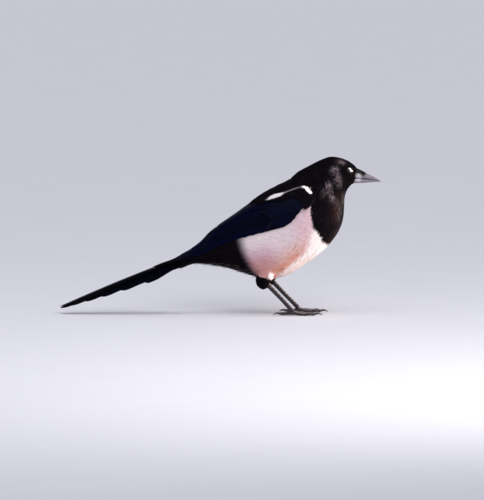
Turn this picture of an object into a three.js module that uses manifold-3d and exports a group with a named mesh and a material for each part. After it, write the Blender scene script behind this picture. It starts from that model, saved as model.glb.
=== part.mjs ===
// A Eurasian magpie as a still, life-size model, standing with its neck drawn in and its tail held low.
// Millimetres, +X towards the bill, +Y to the bird's left, +Z up. The floor is z = 0.
import * as THREE from 'three';
import { LoftGeometry } from 'three/addons/geometries/LoftGeometry.js';
import { mergeVertices } from 'three/addons/utils/BufferGeometryUtils.js';
import Module from 'manifold-3d';

// Driving dimensions
const GAP = 0.3; // between neighbouring pieces
const VANE = 0.8; // thickness of a feather
const EYE_RADIUS = 5.4;
const EYE_OPENING = 4.0; // radius of the part of the eye that the lids leave open
const WING_RISE = 1.0; // how far the folded wing's base stands out of the body under the primaries
const WING_CROWN = 2.6; // and under the tertials
const WING_DEPTH = 3.2; // how far the wing sinks into the flank
const WING_BASE_END = 0.82; // part of the wing's length that lies on its base; past it the primaries are free
const TAIL_ROOT = [-38.4, 75.6]; // x and z of the tail's upper line where it leaves the body
const TAIL_TIP = [-200.6, 9.6]; // and of the tip of the longest feather
const TAIL_BOW = 1.6; // how far the tail bows up between its root and its tip
const TAIL_LAYER = 1.4; // from one pair of tail feathers down to the next
const TOE_LENGTHS = [16, 18, 27, 20]; // hind toe, then inner, middle and outer front toes, without claws
const CLAW = 9.5;

// Where the legs stand: knee, ankle and foot joint of each side, the left one a short step ahead
const LEGS = {
  left: { side: 1, knee: [68, 15, 66], lobe: [60, 18, 42], ankle: [67, 19, 37], foot: [98.6, 21, 4.6] },
  right: { side: -1, knee: [62, 15, 66], lobe: [53.5, 18, 41.5], ankle: [61, 19, 36], foot: [91, 21, 4.6] },
};

// The body's outline from the face to the tail. At each station:
// [top x, top z, underside x, underside z, half-width, how much fuller it is above than below].
// The stations past TORSO_END shape the root of the tail and what lies over it.
const STATIONS = [
  [169.0, 183.0, 166.5, 163.2, 7.6, 0],
  [163.5, 189.0, 163.0, 161.6, 11.2, -0.05],
  [156.5, 193.0, 158.8, 156.6, 14.2, -0.08],
  [147.5, 195.8, 155.8, 150.0, 16.6, -0.1],
  [136.0, 196.6, 154.6, 142.5, 18.8, -0.1],
  [122.0, 191.2, 154.2, 133.5, 22.0, -0.06],
  [108.5, 184.2, 153.2, 121.5, 26.5, -0.04],
  [96.0, 177.0, 149.5, 108.0, 31.5, -0.02],
  [84.0, 166.3, 141.0, 94.0, 36.0, 0],
  [70.0, 158.6, 127.0, 78.6, 39.0, 0],
  [54.0, 149.0, 105.0, 62.6, 40.0, 0],
  [37.0, 135.5, 82.0, 48.8, 38.5, 0],
  [20.0, 121.5, 57.0, 43.8, 34.0, 0],
  [3.5, 109.0, 36.0, 47.5, 27.5, 0],
  [-11.0, 98.5, 15.0, 57.3, 20.0, 0],
  [-24.0, 85.5, -7.0, 62.0, 14.0, 0],
  [-38.0, 76.0, -30.0, 64.2, 9.5, 0],
  [-52.0, 70.6, -46.0, 59.0, 9.5, 0],
  [-66.0, 65.0, -60.0, 52.6, 11.5, 0],
];
const TORSO_END = 16; // station where the torso ends
const HEAD_CUT = 4.6; // station where head and neck part
const NECK_CUT = 7.0; // station where neck and torso part

const point = (x, y, z) => new THREE.Vector3(x, y, z);
const radians = THREE.MathUtils.degToRad;
const mix = THREE.MathUtils.lerp;
const smooth = THREE.MathUtils.smoothstep;
const clamp = THREE.MathUtils.clamp;
const range = (count) => Array.from({ length: count }, (_, i) => i);
const curve = (points) => new THREE.CatmullRomCurve3(points, false, 'catmullrom', 0.5);
const centreOf = (ring) => ring.reduce((sum, p) => sum.add(p), point(0, 0, 0)).divideScalar(ring.length);

// Closed solids and booleans
const wasm = await Module();
wasm.setup();

function copyOf(geometry) {
  return new THREE.BufferGeometry().copy(geometry);
}

function solid(geometry) {
  const bare = copyOf(geometry);
  bare.deleteAttribute('normal');
  bare.deleteAttribute('uv');
  const merged = mergeVertices(bare, 1e-4);
  return new wasm.Manifold(
    new wasm.Mesh({
      numProp: 3,
      vertProperties: merged.attributes.position.array,
      triVerts: new Uint32Array(merged.index.array),
    }),
  );
}

function geometryOf(body) {
  const { vertProperties, triVerts } = body.getMesh();
  const geometry = new THREE.BufferGeometry();
  geometry.setAttribute('position', new THREE.BufferAttribute(vertProperties, 3));
  geometry.setIndex(new THREE.BufferAttribute(triVerts, 1));
  geometry.computeVertexNormals();
  return geometry;
}

// The largest closed surface of a solid: no loose scraps, no sealed hollows
function largest(body) {
  return body.decompose().reduce((a, b) => (b.volume() > a.volume() ? b : a));
}

function joined(geometries) {
  return geometries.map(solid).reduce((a, b) => a.add(b));
}

function turned(geometry) {
  const index = geometry.index.array;
  for (let i = 0; i < index.length; i += 3) [index[i + 1], index[i + 2]] = [index[i + 2], index[i + 1]];
  return geometry;
}

function mirrored(geometry) {
  return turned(copyOf(geometry).scale(1, -1, 1));
}

// A solid through rings of points, wound so that its faces point out
function loft(rings) {
  const centre = centreOf(rings[0]);
  const winding = point(0, 0, 0);
  rings[0].forEach((p, i) => {
    const next = rings[0][(i + 1) % rings[0].length];
    winding.add(p.clone().sub(centre).cross(next.clone().sub(centre)));
  });
  const forward = winding.dot(centreOf(rings[1]).sub(centre)) > 0;
  const wound = forward ? rings : rings.map((ring) => [...ring].reverse());
  return new LoftGeometry(wound, { capStart: true, capEnd: true });
}

// A closed plate between two grids of points of the same size, both faces split along the same diagonals
function plate(outer, inner) {
  const rows = outer.length;
  const columns = outer[0].length;
  const at = (face, row, column) => (face * rows + row) * columns + column;
  const index = [];
  const split = (a, b, c, d) => index.push(a, b, c, a, c, d);
  for (const i of range(rows - 1)) {
    for (const j of range(columns - 1)) {
      split(at(0, i, j), at(0, i + 1, j), at(0, i + 1, j + 1), at(0, i, j + 1));
      index.push(at(1, i, j), at(1, i + 1, j + 1), at(1, i + 1, j));
      index.push(at(1, i, j), at(1, i, j + 1), at(1, i + 1, j + 1));
    }
    const last = columns - 1;
    split(at(0, i, 0), at(1, i, 0), at(1, i + 1, 0), at(0, i + 1, 0));
    split(at(0, i + 1, last), at(1, i + 1, last), at(1, i, last), at(0, i, last));
  }
  for (const j of range(columns - 1)) {
    const last = rows - 1;
    split(at(0, 0, j), at(0, 0, j + 1), at(1, 0, j + 1), at(1, 0, j));
    split(at(1, last, j), at(1, last, j + 1), at(0, last, j + 1), at(0, last, j));
  }
  const geometry = new THREE.BufferGeometry().setFromPoints([...outer.flat(), ...inner.flat()]);
  geometry.setIndex(index);
  const across = outer[0][columns - 1].clone().sub(outer[0][0]);
  const out = outer[1][0].clone().sub(outer[0][0]).cross(across);
  const facesOut = out.dot(outer[0][0].clone().sub(inner[0][0])) > 0;
  return facesOut ? geometry : turned(geometry);
}

// Body surface: station along the bird, angle from the top (0) over the left side to the underside (PI)
const lastStation = STATIONS.length - 1;
const topLine = curve(STATIONS.map(([x, z]) => point(x, 0, z)));
const underLine = curve(STATIONS.map(([, , x, z]) => point(x, 0, z)));
const widths = curve(STATIONS.map(([, , , , half, fullness]) => point(half, fullness, 0)));

function bodyPoint(station, angle) {
  const t = clamp(station / lastStation, 0, 1);
  const half = widths.getPoint(t);
  const spot = underLine.getPoint(t).lerp(topLine.getPoint(t), (1 + Math.cos(angle)) / 2);
  spot.y = half.x * Math.sin(angle) * (1 + half.y * Math.cos(angle));
  return spot;
}

function bodyNormal(station, angle) {
  const step = 0.01;
  const along = bodyPoint(station + step, angle).sub(bodyPoint(station - step, angle));
  const around = bodyPoint(station, angle + step).sub(bodyPoint(station, angle - step));
  return around.cross(along).normalize();
}

// A point at a height over the body surface
function onBody(station, angle, height) {
  return bodyPoint(station, angle).addScaledVector(bodyNormal(station, angle), height);
}

const BODY_SIDES = 26;
const HEAD_RINGS = 9;
const TRUNK_RINGS = 16;
const STATION_STEP = 12; // shortest way between two stations near the tail

const TRUNK_STATIONS = [
  ...range(HEAD_RINGS).map((i) => (i * HEAD_CUT) / HEAD_RINGS),
  ...range(TRUNK_RINGS).map((i) => mix(HEAD_CUT, TORSO_END, i / TRUNK_RINGS)),
];

function bodyLoft(stations, grow) {
  const angles = range(BODY_SIDES).map((i) => (i / BODY_SIDES) * 2 * Math.PI);
  return loft(stations.map((station) => angles.map((angle) => onBody(station, angle, grow))));
}

// A thin cut through the body in the plane of a station
function parting(station) {
  const top = bodyPoint(station, 0);
  const under = bodyPoint(station, Math.PI);
  const cut = new THREE.BoxGeometry(GAP, 120, 160);
  cut.rotateY(Math.atan2(top.x - under.x, top.z - under.z));
  const middle = top.clone().add(under).divideScalar(2);
  return cut.translate(middle.x, 0, middle.z);
}

// Feathers. Each is a tapered plate on a surface, given as a function of two coordinates and a height.
// It lies from its root to its tip, its free edge lifted and its other edge tucked under the next feather.
const VANE_ROWS = [0, 0.45, 0.82, 1];
const TUCKED = 0.6; // share of the width on the tucked side of the shaft
const ROOTED = 0.5; // how far the underside of a feather sinks into its base

function vaneOutline(t, taper = 1) {
  const rounding = t > 0.7 ? Math.sqrt(1 - (((t - 0.7) / 0.3) ** 2) * 0.93) : 1;
  return mix(0.7, 1, smooth(t, 0, 0.4)) * mix(1, taper, t) * rounding;
}

function vane(surface, { root, tip, width, taper, lift, tuck, sole, shaft = 0 }) {
  const step = 0.01;
  const outer = [];
  const inner = [];
  for (const t of VANE_ROWS) {
    const u = mix(root[0], tip[0], t);
    const v = mix(root[1], tip[1], t);
    const scale = surface(u, v + step, 0).distanceTo(surface(u, v - step, 0)) / (2 * step);
    const outline = vaneOutline(t, taper);
    const spread = (width * outline) / scale;
    const rise = smooth(t, -0.3, 0.3);
    const heights = [
      mix(mix(tuck, lift, TUCKED), lift, outline) * rise,
      mix(tuck, lift, TUCKED) * rise + shaft,
      mix(mix(tuck, lift, TUCKED), tuck, outline) * rise,
    ];
    const places = [v - (1 - TUCKED) * spread, v, v + TUCKED * spread];
    const kept = shaft > 0 ? [0, 1, 2] : [0, 2];
    outer.push(kept.map((k) => surface(u, places[k], heights[k])));
    inner.push(kept.map((k) => surface(u, places[k], sole(u, places[k], heights[k], t))));
  }
  return plate(outer, inner);
}

// Head: lids, the corners of the mouth and the bristles over the nostrils
const EYE_STATION = 1.25;
const EYE_ANGLE = radians(69);
const eyeAxis = bodyNormal(EYE_STATION, EYE_ANGLE);
const eyeDepth = Math.sqrt(EYE_RADIUS ** 2 - EYE_OPENING ** 2);
const eyeCentre = onBody(EYE_STATION, EYE_ANGLE, -eyeDepth);

function eyeBall(radius) {
  const ball = new THREE.SphereGeometry(radius, 12, 8);
  return ball.translate(...eyeCentre.toArray());
}

function lids() {
  const collar = new THREE.CylinderGeometry(EYE_OPENING + 0.7, EYE_OPENING + 1.7, 3.2, 14);
  collar.rotateX(Math.PI / 2).scale(1.08, 0.94, 1).lookAt(eyeAxis);
  return collar.translate(...onBody(EYE_STATION, EYE_ANGLE, -0.8).toArray());
}

// Bill, in two halves that meet along the line of the mouth: [x, upper edge z, lower edge z, half-width]
const UPPER_BILL = [
  [164.5, 181.4, 170.5, 6.0],
  [172.0, 179.4, 169.9, 5.6],
  [180.0, 176.9, 169.1, 4.8],
  [187.5, 174.0, 168.2, 3.6],
  [194.0, 170.6, 167.2, 2.3],
  [198.4, 167.9, 166.3, 1.2],
  [200.6, 165.9, 165.2, 0.4],
];
const LOWER_BILL = [
  [164.5, 170.2, 163.8, 5.6],
  [172.0, 169.6, 163.8, 5.1],
  [180.0, 168.8, 164.2, 4.3],
  [187.5, 167.9, 164.9, 3.0],
  [194.0, 166.9, 165.4, 1.8],
  [198.0, 166.1, 165.5, 0.6],
];
const BILL_SIDES = 10;
const BILL_RINGS = 9;
const TOMIUM = 0.35; // how much narrower each half gets away from the edge of the mouth

function billSection(outline, t) {
  const [low, high] = [Math.floor(t * (outline.length - 1)), Math.ceil(t * (outline.length - 1))];
  const part = t * (outline.length - 1) - low;
  return outline[low].map((value, i) => mix(value, outline[high][i], smooth(part, -0.6, 1.6)));
}

// A point on one half of the bill, angle 0 on its ridge and PI on its underside
function billPoint(outline, t, angle, grow) {
  const [x, top, low, width] = billSection(outline, t);
  const rise = Math.cos(angle);
  const away = outline === UPPER_BILL ? rise : -rise;
  const half = (width + grow) * (1 - TOMIUM * Math.max(0, away));
  return point(x, half * Math.sin(angle), (top + low) / 2 + ((top - low) / 2 + grow) * rise);
}

function billLoft(outline, grow = 0) {
  return loft(
    range(BILL_RINGS + 1).map((i) =>
      range(BILL_SIDES).map((k) => {
        const spot = billPoint(outline, i / BILL_RINGS, (k / BILL_SIDES) * 2 * Math.PI, grow);
        if (i === 0) spot.x -= grow;
        return spot;
      }),
    ),
  );
}

const NOSTRIL = { at: 0.3, angle: radians(68), length: 2.2, height: 0.9 };

function nostril() {
  const pit = new THREE.SphereGeometry(1, 8, 5).scale(NOSTRIL.length, NOSTRIL.height, NOSTRIL.height);
  return pit.translate(...billPoint(UPPER_BILL, NOSTRIL.at, NOSTRIL.angle, 0).toArray());
}

// The slit of the mouth behind the bill, across the face to the corners of the mouth
const GAPE_CORNER = [160.5, 168.6];

function gapeSlit() {
  const [x, z] = GAPE_CORNER;
  const slit = new THREE.BoxGeometry(8, 40, 0.5);
  slit.rotateY(radians(-8));
  return slit.translate(x + 4, 0, z + 0.9);
}

const BRISTLES = 3; // on each side
function bristles() {
  return range(BRISTLES).map((i) => {
    const angle = radians(mix(12, 84, i / (BRISTLES - 1)));
    const surface = (t, turn, height) => billPoint(UPPER_BILL, t, turn, height);
    return vane(surface, {
      root: [0.02, angle * 0.96],
      tip: [mix(0.34, 0.24, i / (BRISTLES - 1)), angle],
      width: 3,
      taper: 0.4,
      lift: 1.4,
      tuck: 1.1,
      sole: () => GAP + 0.25,
    });
  });
}

// Folded wing: a patch of the body surface between a lower and an upper edge, [station, degrees from the top]
const WING_LOWER = [
  [7.45, 80], [8.2, 76.5], [8.8, 76], [9.4, 80], [9.95, 81], [10.7, 74], [11.5, 68], [12.5, 64], [13.8, 66],
  [15.1, 72], [16.2, 78], [17.2, 76],
];
const WING_UPPER = [
  [7.2, 69], [7.35, 52], [7.8, 42], [8.6, 32], [9.6, 23], [10.5, 14], [11.4, 7], [12.5, 5], [13.6, 5.5],
  [14.8, 7], [15.9, 14], [17.2, 34],
];
const wingLower = curve(WING_LOWER.map(([station, angle]) => point(station, radians(angle), 0)));
const wingUpper = curve(WING_UPPER.map(([station, angle]) => point(station, radians(angle), 0)));

// A point of the wing: along from wrist (0) to tip (1), across from lower edge (0) to upper edge (1)
function wingPoint(along, across, height) {
  const t = clamp(along, 0, 1);
  const { x: station, y: angle } = wingLower.getPoint(t).lerp(wingUpper.getPoint(t), across);
  return onBody(station, angle, height);
}

function wingBaseRise(along, across) {
  const edge = smooth(Math.min(across * 5, (1 - across) * 6, along * 9 + 0.1), -0.2, 1);
  return mix(WING_RISE, WING_CROWN, smooth(across, 0.4, 0.85)) * edge;
}

function wingBase(grow) {
  const rows = 11;
  const columns = 5;
  const sheet = (height) =>
    range(rows).map((i) =>
      range(columns).map((j) => {
        const along = mix(0, WING_BASE_END + grow / 170, i / (rows - 1));
        const across = j / (columns - 1);
        const side = (across - 0.5) * 2 * grow;
        const wide = wingPoint(along, 0, 0).distanceTo(wingPoint(along, 1, 0));
        const end = smooth((WING_BASE_END - along) * 14, 0, 1);
        return wingPoint(along, across + side / wide, height(along, across, end));
      }),
    );
  return plate(
    sheet((along, across, end) => wingBaseRise(along, across) * mix(0.5, 1, end) + grow),
    sheet((along, across, end) => {
      const edge = smooth(Math.min(across, 1 - across, along * 2) * 5, -0.3, 1);
      return -WING_DEPTH * edge * mix(0.3, 1, end) - grow;
    }),
  );
}

// Tiers of the wing from the deepest to the outermost, each counted from its lowest feather upwards.
// Root and tip are [along, across]; width, lift and drop are millimetres.
const ramp = (from, to) => (part) => mix(from, to, part);
const WING_TIERS = [
  // primaries
  {
    count: 6,
    root: (part) => [0.3, mix(0.06, 0.34, part)],
    tip: (part) => [1 - (part < 0.45 ? 0.86 : 0.37) * (part - 0.45) ** 2, mix(0.1, 0.84, part)],
    width: ramp(7.5, 9.5),
    lift: ramp(2.2, 2.5),
    drop: 1.1,
  },
  // secondaries
  {
    count: 5,
    root: (part) => [mix(0.32, 0.4, part), mix(0.32, 0.7, part)],
    tip: (part) => [mix(0.82, 0.74, part), mix(0.42, 0.84, part)],
    width: ramp(10, 11),
    lift: ramp(2.9, 3.5),
    drop: 1.4,
  },
  // tertials
  {
    count: 3,
    root: (part) => [0.4, mix(0.74, 0.86, part)],
    tip: (part) => [mix(0.7, 0.58, part), mix(0.83, 0.88, part)],
    width: ramp(12, 10),
    lift: ramp(4.3, 4.7),
    drop: 1.0,
    shaft: 0.25,
  },
  // primary coverts
  {
    count: 3,
    root: (part) => [0.2, mix(0.07, 0.23, part)],
    tip: (part) => [mix(0.46, 0.42, part), mix(0.06, 0.24, part)],
    width: ramp(6.5, 7.5),
    lift: ramp(2.7, 3.1),
    drop: 1.2,
  },
  // greater coverts
  {
    count: 5,
    root: (part) => [mix(0.2, 0.3, part), mix(0.28, 0.82, part)],
    tip: (part) => [mix(0.42, 0.5, part), mix(0.3, 0.86, part)],
    width: ramp(11, 11.5),
    lift: ramp(3.5, 4.4),
    drop: 1.4,
  },
  // the alula at the bend of the wing
  {
    count: 2,
    root: (part) => [0.05, mix(0.16, 0.26, part)],
    tip: (part) => [mix(0.27, 0.23, part), mix(0.07, 0.16, part)],
    width: ramp(6, 6.5),
    lift: ramp(3.2, 3.5),
    drop: 1.2,
  },
  // median coverts
  {
    count: 5,
    root: (part) => [mix(0.1, 0.14, part), mix(0.24, 0.86, part)],
    tip: (part) => [mix(0.26, 0.33, part), mix(0.24, 0.86, part)],
    width: ramp(11, 11),
    lift: ramp(4.1, 4.6),
    drop: 1.2,
  },
  // lesser coverts
  {
    count: 3,
    root: (part) => [0.02, mix(0.22, 0.82, part)],
    tip: (part) => [mix(0.14, 0.18, part), mix(0.2, 0.84, part)],
    width: ramp(11, 11),
    lift: ramp(4.2, 4.6),
    drop: 1.0,
  },
];
const SHAGGINESS = 0.02; // how far tips stray from their tier, as a part of the wing's length

// Feathers are solid down into the base, and free past its end
function wingSole(along, across, height) {
  const free = along > WING_BASE_END - 0.03;
  return free ? height - VANE : Math.min(height - VANE, Math.max(ROOTED, wingBaseRise(along, across) - ROOTED));
}

function wingVanes() {
  THREE.MathUtils.seededRandom(11);
  const stray = () => (THREE.MathUtils.seededRandom() - 0.5) * SHAGGINESS;
  return WING_TIERS.flatMap(({ count, root, tip, width, lift, drop, shaft }) =>
    range(count).map((i) => {
      const part = i / (count - 1);
      const [along, across] = tip(part);
      return vane(wingPoint, {
        root: root(part),
        tip: [Math.min(1, along + stray()), across],
        width: width(part),
        lift: lift(part),
        tuck: lift(part) - drop,
        shaft,
        sole: wingSole,
      });
    }),
  );
}

// Scapulars: feathers over the shoulder, on a base beside the wing's upper edge
const SCAPULAR_LOWER = [[7.3, 50], [7.7, 41], [8.5, 31], [9.5, 22.5], [10.4, 13.5], [11.1, 8.5]];
const SCAPULAR_UPPER = [[7.35, 30], [7.9, 17], [8.6, 10], [9.5, 6.5], [10.4, 5], [11.1, 4.5]];
const scapularLower = curve(SCAPULAR_LOWER.map(([station, angle]) => point(station, radians(angle), 0)));
const scapularUpper = curve(SCAPULAR_UPPER.map(([station, angle]) => point(station, radians(angle), 0)));
const SCAPULAR_RISE = 1.6;
const SCAPULAR_DEPTH = 2.2;

function scapularPoint(along, across, height) {
  const t = clamp(along, 0, 1);
  const { x: station, y: angle } = scapularLower.getPoint(t).lerp(scapularUpper.getPoint(t), across);
  return onBody(station, angle, height);
}

function scapularBase(grow) {
  const rows = 9;
  const columns = 5;
  const sheet = (height) =>
    range(rows).map((i) =>
      range(columns).map((j) => {
        const along = i / (rows - 1);
        const across = j / (columns - 1);
        const wide = scapularPoint(along, 0, 0).distanceTo(scapularPoint(along, 1, 0));
        const end = smooth(Math.min(along, 1 - along) * 6, -0.4, 1);
        const beside = across + ((across - 0.5) * 2 * grow) / wide;
        const spot = scapularPoint(along, beside, height * end + Math.sign(height) * grow);
        const ahead = scapularPoint(along + 0.01, across, 0).sub(scapularPoint(along - 0.01, across, 0));
        const shift = i === 0 ? -grow : i === rows - 1 ? grow : 0;
        return spot.addScaledVector(ahead.normalize(), shift);
      }),
    );
  return plate(sheet(SCAPULAR_RISE), sheet(-SCAPULAR_DEPTH));
}

const SCAPULAR_TIERS = [
  { count: 2, root: 0.45, tip: [0.98, 0.9], lift: 3.4, low: -0.1 },
  { count: 3, root: 0.2, tip: [0.72, 0.64], lift: 3.9, low: -0.12 },
  { count: 3, root: 0.02, tip: [0.44, 0.38], lift: 4.2, low: -0.08 },
];
const SCAPULAR_WIDTH = 12;
const SCAPULAR_DROP = 0.9; // how far the tucked edge of each lies below its free edge
const SCAPULAR_OVERHANG = 6; // room that they have beside their base

function scapularVanes() {
  return SCAPULAR_TIERS.flatMap(({ count, root, tip, lift, low }) =>
    range(count).map((i) => {
      const part = i / (count - 1);
      return vane(scapularPoint, {
        root: [root, mix(low + 0.2, 0.75, part)],
        tip: [mix(tip[0], tip[1], part), mix(low, 0.72, part)],
        width: SCAPULAR_WIDTH * mix(1, 0.6, root),
        lift,
        tuck: lift - SCAPULAR_DROP,
        sole: (u, v, height) => Math.min(height - VANE, v < 0.05 ? height : SCAPULAR_RISE - ROOTED),
      });
    }),
  );
}

// The room that the scapulars' feathers take above the edge of the wing
function scapularRoom() {
  const low = SCAPULAR_TIERS[0].lift - SCAPULAR_DROP - VANE - 2 * GAP;
  const rows = 7;
  const sheet = (height) =>
    range(rows).map((i) => {
      const along = i / (rows - 1);
      const beside = SCAPULAR_OVERHANG / scapularPoint(along, 0, 0).distanceTo(scapularPoint(along, 1, 0));
      return [-beside, 0.4, 1 + beside].map((across) => {
        const spot = scapularPoint(along, across, height);
        const back = spot.clone().sub(scapularPoint(along - 0.1, across, height));
        return i < rows - 1 ? spot : spot.addScaledVector(back, 0.5);
      });
    });
  return plate(sheet(SCAPULAR_OVERHANG + 3), sheet(low));
}

// Tail: a frame along its upper line, with distance from the body, sideways and up
const tailAlong = point(TAIL_TIP[0] - TAIL_ROOT[0], 0, TAIL_TIP[1] - TAIL_ROOT[1]);
const tailLength = tailAlong.length();
tailAlong.normalize();
const tailUp = point(-tailAlong.z, 0, tailAlong.x).multiplyScalar(-1);

function tailPoint(distance, aside, up) {
  const bow = TAIL_BOW * Math.sin(Math.PI * clamp(distance / tailLength, 0, 1));
  const spot = point(TAIL_ROOT[0], aside, TAIL_ROOT[1]).addScaledVector(tailAlong, distance);
  return spot.addScaledVector(tailUp, up + bow);
}

// Pairs from the middle outwards: length as a part of the longest, and how far aside the spread shaft lies
const TAIL_PAIRS = [
  { length: 1, aside: 1.6 },
  { length: 0.885, aside: 4.2 },
  { length: 0.79, aside: 6.4 },
  { length: 0.69, aside: 8.5 },
  { length: 0.53, aside: 10.4 },
  { length: 0.34, aside: 12.2 },
];
const OUTER_WEB = 7;
const INNER_WEB = 11;
const TAIL_SUNK = 1.3; // how far the tail starts under the feathers that lie over its root
const TAIL_VANE = 0.65; // thickness of a tail feather
const TAIL_VANE_ROWS = [0, 0.2, 0.45, 0.82, 1];

function tailVane(side, pair) {
  const { length, aside } = TAIL_PAIRS[pair];
  const outer = [];
  const inner = [];
  for (const t of TAIL_VANE_ROWS) {
    const distance = GAP + t * length * (tailLength - GAP);
    const spread = mix(0.32, 1, smooth(distance, 0, 52));
    const arch = mix(34, 19, distance / tailLength);
    const layer = (pair === 0 ? (side > 0 ? 0 : 1) : pair + 1) * TAIL_LAYER;
    const web = vaneOutline(t) * spread;
    const shaft = aside * spread;
    const inset = pair === 0 ? -OUTER_WEB * web : Math.max(0.5, shaft - INNER_WEB * web);
    const across = [shaft + (OUTER_WEB + (pair === 0 ? 2 : 0)) * web, shaft, Math.min(inset, shaft - 0.4)];
    const top = -TAIL_SUNK * (1 - smooth(distance, 18, 44)) - layer * mix(0.62, 1, spread);
    const row = (lower) => across.map((y) => tailPoint(distance, side * y, top - (y * y) / (2 * arch) - lower));
    outer.push(row(0));
    inner.push(row(TAIL_VANE));
  }
  return plate(outer, inner);
}

const TAIL_FACE = -0.2; // where the tail's front face meets the torso's end at its upper line
const TAIL_SLANT = 0.21; // how far that face leans forward for each millimetre down

function tailCore() {
  return loft(
    [0, 0.3, 0.6, 0.85, 1].map((t) => {
      const half = mix(7.4, 3, t ** 2);
      const deep = mix(4.1, 1.2, t ** 2);
      return range(12).map((k) => {
        const angle = (k / 12) * 2 * Math.PI;
        const up = -6.2 + deep * Math.cos(angle);
        return tailPoint(mix(TAIL_FACE + TAIL_SLANT * up, 40, t), half * Math.sin(angle), up);
      });
    }),
  );
}

// Feathers of the vent that lie under the root of the tail
// [aside, how far it lies below the others, reach]
const VENT_COVERTS = [[-10, 0, 26], [10, 0, 26], [-5, 0.5, 22], [5, 0.5, 22], [0, 1, 30]];
const VENT_DEPTH = 12.2; // from the tail's upper line down to them

function ventCoverts() {
  return VENT_COVERTS.map(([aside, lower, reach]) =>
    vane((distance, across, height) => tailPoint(distance, across, height - VENT_DEPTH - lower), {
      root: [-16, aside * 0.5],
      tip: [reach, aside * 0.7],
      width: 8,
      lift: 0,
      tuck: 0,
      sole: (u, v, height, t) => mix(1.4, 0.8, t),
    }),
  );
}

// Legs
function limb(points, radii, sides, rings, { squash = 1, radiusAt = null } = {}) {
  const line = curve(points.map((p) => point(...p)));
  const radius = curve(radii.map((r) => point(r, 0, 0)));
  return loft(
    range(rings + 1).map((i) => {
      const t = i / rings;
      const centre = line.getPoint(t);
      const along = line.getTangent(t);
      const side = point(0, 1, 0).cross(along).cross(along).normalize();
      const front = side.clone().cross(along).normalize();
      const r = radiusAt ? radiusAt(t, radius.getPoint(t).x) : radius.getPoint(t).x;
      return range(sides).map((k) => {
        const angle = (k / sides) * 2 * Math.PI;
        const spot = centre.clone();
        spot.addScaledVector(front, r * Math.cos(angle));
        spot.addScaledVector(side, squash * r * Math.sin(angle));
        spot.z = Math.max(0, spot.z);
        return spot;
      });
    }),
  );
}

function thigh({ knee, lobe, ankle }) {
  const middle = [mix(knee[0], lobe[0], 0.6), mix(knee[1], lobe[1], 0.5), mix(knee[2], lobe[2], 0.5)];
  return limb([knee, middle, lobe, [ankle[0] - 4, ankle[1], ankle[2] - 2.5]], [8, 9, 8.2, 2.2], 12, 7);
}

function tarsusLine({ ankle, foot }) {
  const [ax, ay, az] = ankle;
  const [fx, fy, fz] = foot;
  const middle = [mix(ax, fx, 0.5) - 0.6, mix(ay, fy, 0.5), mix(az, fz, 0.5) - 0.6];
  return [[ax - 2, ay, az + 2], middle, [fx - 1.4, fy, fz + 1.4]];
}

const SCUTES = 7;
const SCUTE_EDGE = 0.3;

function tarsus(leg) {
  const scute = (t, radius) => radius + SCUTE_EDGE * (((t * SCUTES) % 1) - 0.5);
  return limb(tarsusLine(leg), [3.0, 2.2, 2.7], 7, SCUTES * 2, {
    squash: 0.78,
    radiusAt: (t, radius) => scute(t + (Math.round(t * SCUTES * 2) % 2 ? 0.4 / SCUTES : 0), radius),
  });
}

function tarsusClearance(leg) {
  return limb(tarsusLine(leg), [3.45, 2.65, 3.15], 8, 6, { squash: 0.84 });
}

// Toes: [heading in degrees from straight ahead, radius at the root, joints along it]
const TOES = [
  [176, 2.5, 1],
  [-27, 2.2, 2],
  [-3, 2.4, 3],
  [22, 2.2, 3],
];

function alongToe({ foot }, digit, distance, height) {
  const angle = radians(TOES[digit][0]);
  return [foot[0] + distance * Math.cos(angle), foot[1] + distance * Math.sin(angle), height];
}

function toe(leg, digit) {
  const [, radius, pads] = TOES[digit];
  const length = TOE_LENGTHS[digit];
  return limb(
    [
      alongToe(leg, digit, 0, 3.6),
      alongToe(leg, digit, length * 0.33, 2.5),
      alongToe(leg, digit, length * 0.66, 2.0),
      alongToe(leg, digit, length, 1.7),
    ],
    [radius, radius * 0.92, radius * 0.84, radius * 0.7],
    7,
    5,
    { radiusAt: (t, r) => r * (1 + 0.14 * Math.cos((t - 0.04) * pads * 2 * Math.PI)) },
  );
}

function claw(leg, digit) {
  const from = TOE_LENGTHS[digit] + GAP + 0.2;
  return limb(
    [
      alongToe(leg, digit, from, 1.9),
      alongToe(leg, digit, from + CLAW * 0.35, 2.7),
      alongToe(leg, digit, from + CLAW * 0.72, 2.0),
      alongToe(leg, digit, from + CLAW * 0.97, 0.45),
    ],
    [1.35, 1.15, 0.75, 0.25],
    5,
    4,
  );
}

function footClearance({ foot: [x, y, z] }) {
  return limb([[x - 6, y, z - 1.6], [x, y, z - 1], [x + 7, y, z - 1.6]], [3, 3, 3], 10, 4);
}

// Flat locks that hang round the lower end of the feathered thigh
const THIGH_LOCKS = 6;
const LOBE_RADIUS = 8;

function thighLocks(leg) {
  const [lx, ly, lz] = leg.lobe;
  const surface = (down, turn, height) => {
    const bulge = Math.sqrt(Math.max(0.04, 1 - (Math.max(0, down) / 10.5) ** 2));
    const radius = (LOBE_RADIUS + height) * bulge + Math.max(0, -down) * 0.3;
    const [x, z] = [lx + 0.18 * down, lz - 0.86 * down];
    return point(x + radius * Math.cos(turn), ly + radius * Math.sin(turn), z);
  };
  return range(THIGH_LOCKS).map((i) => {
    const turn = (i / THIGH_LOCKS) * 2 * Math.PI + 0.2;
    return vane(surface, {
      root: [-7, turn],
      tip: [9.4, turn + 0.1],
      width: 9,
      taper: 0.3,
      lift: 0.9,
      tuck: 0.6,
      sole: (u, v, height, t) => height - mix(2.4, 1, t),
    });
  });
}

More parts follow.
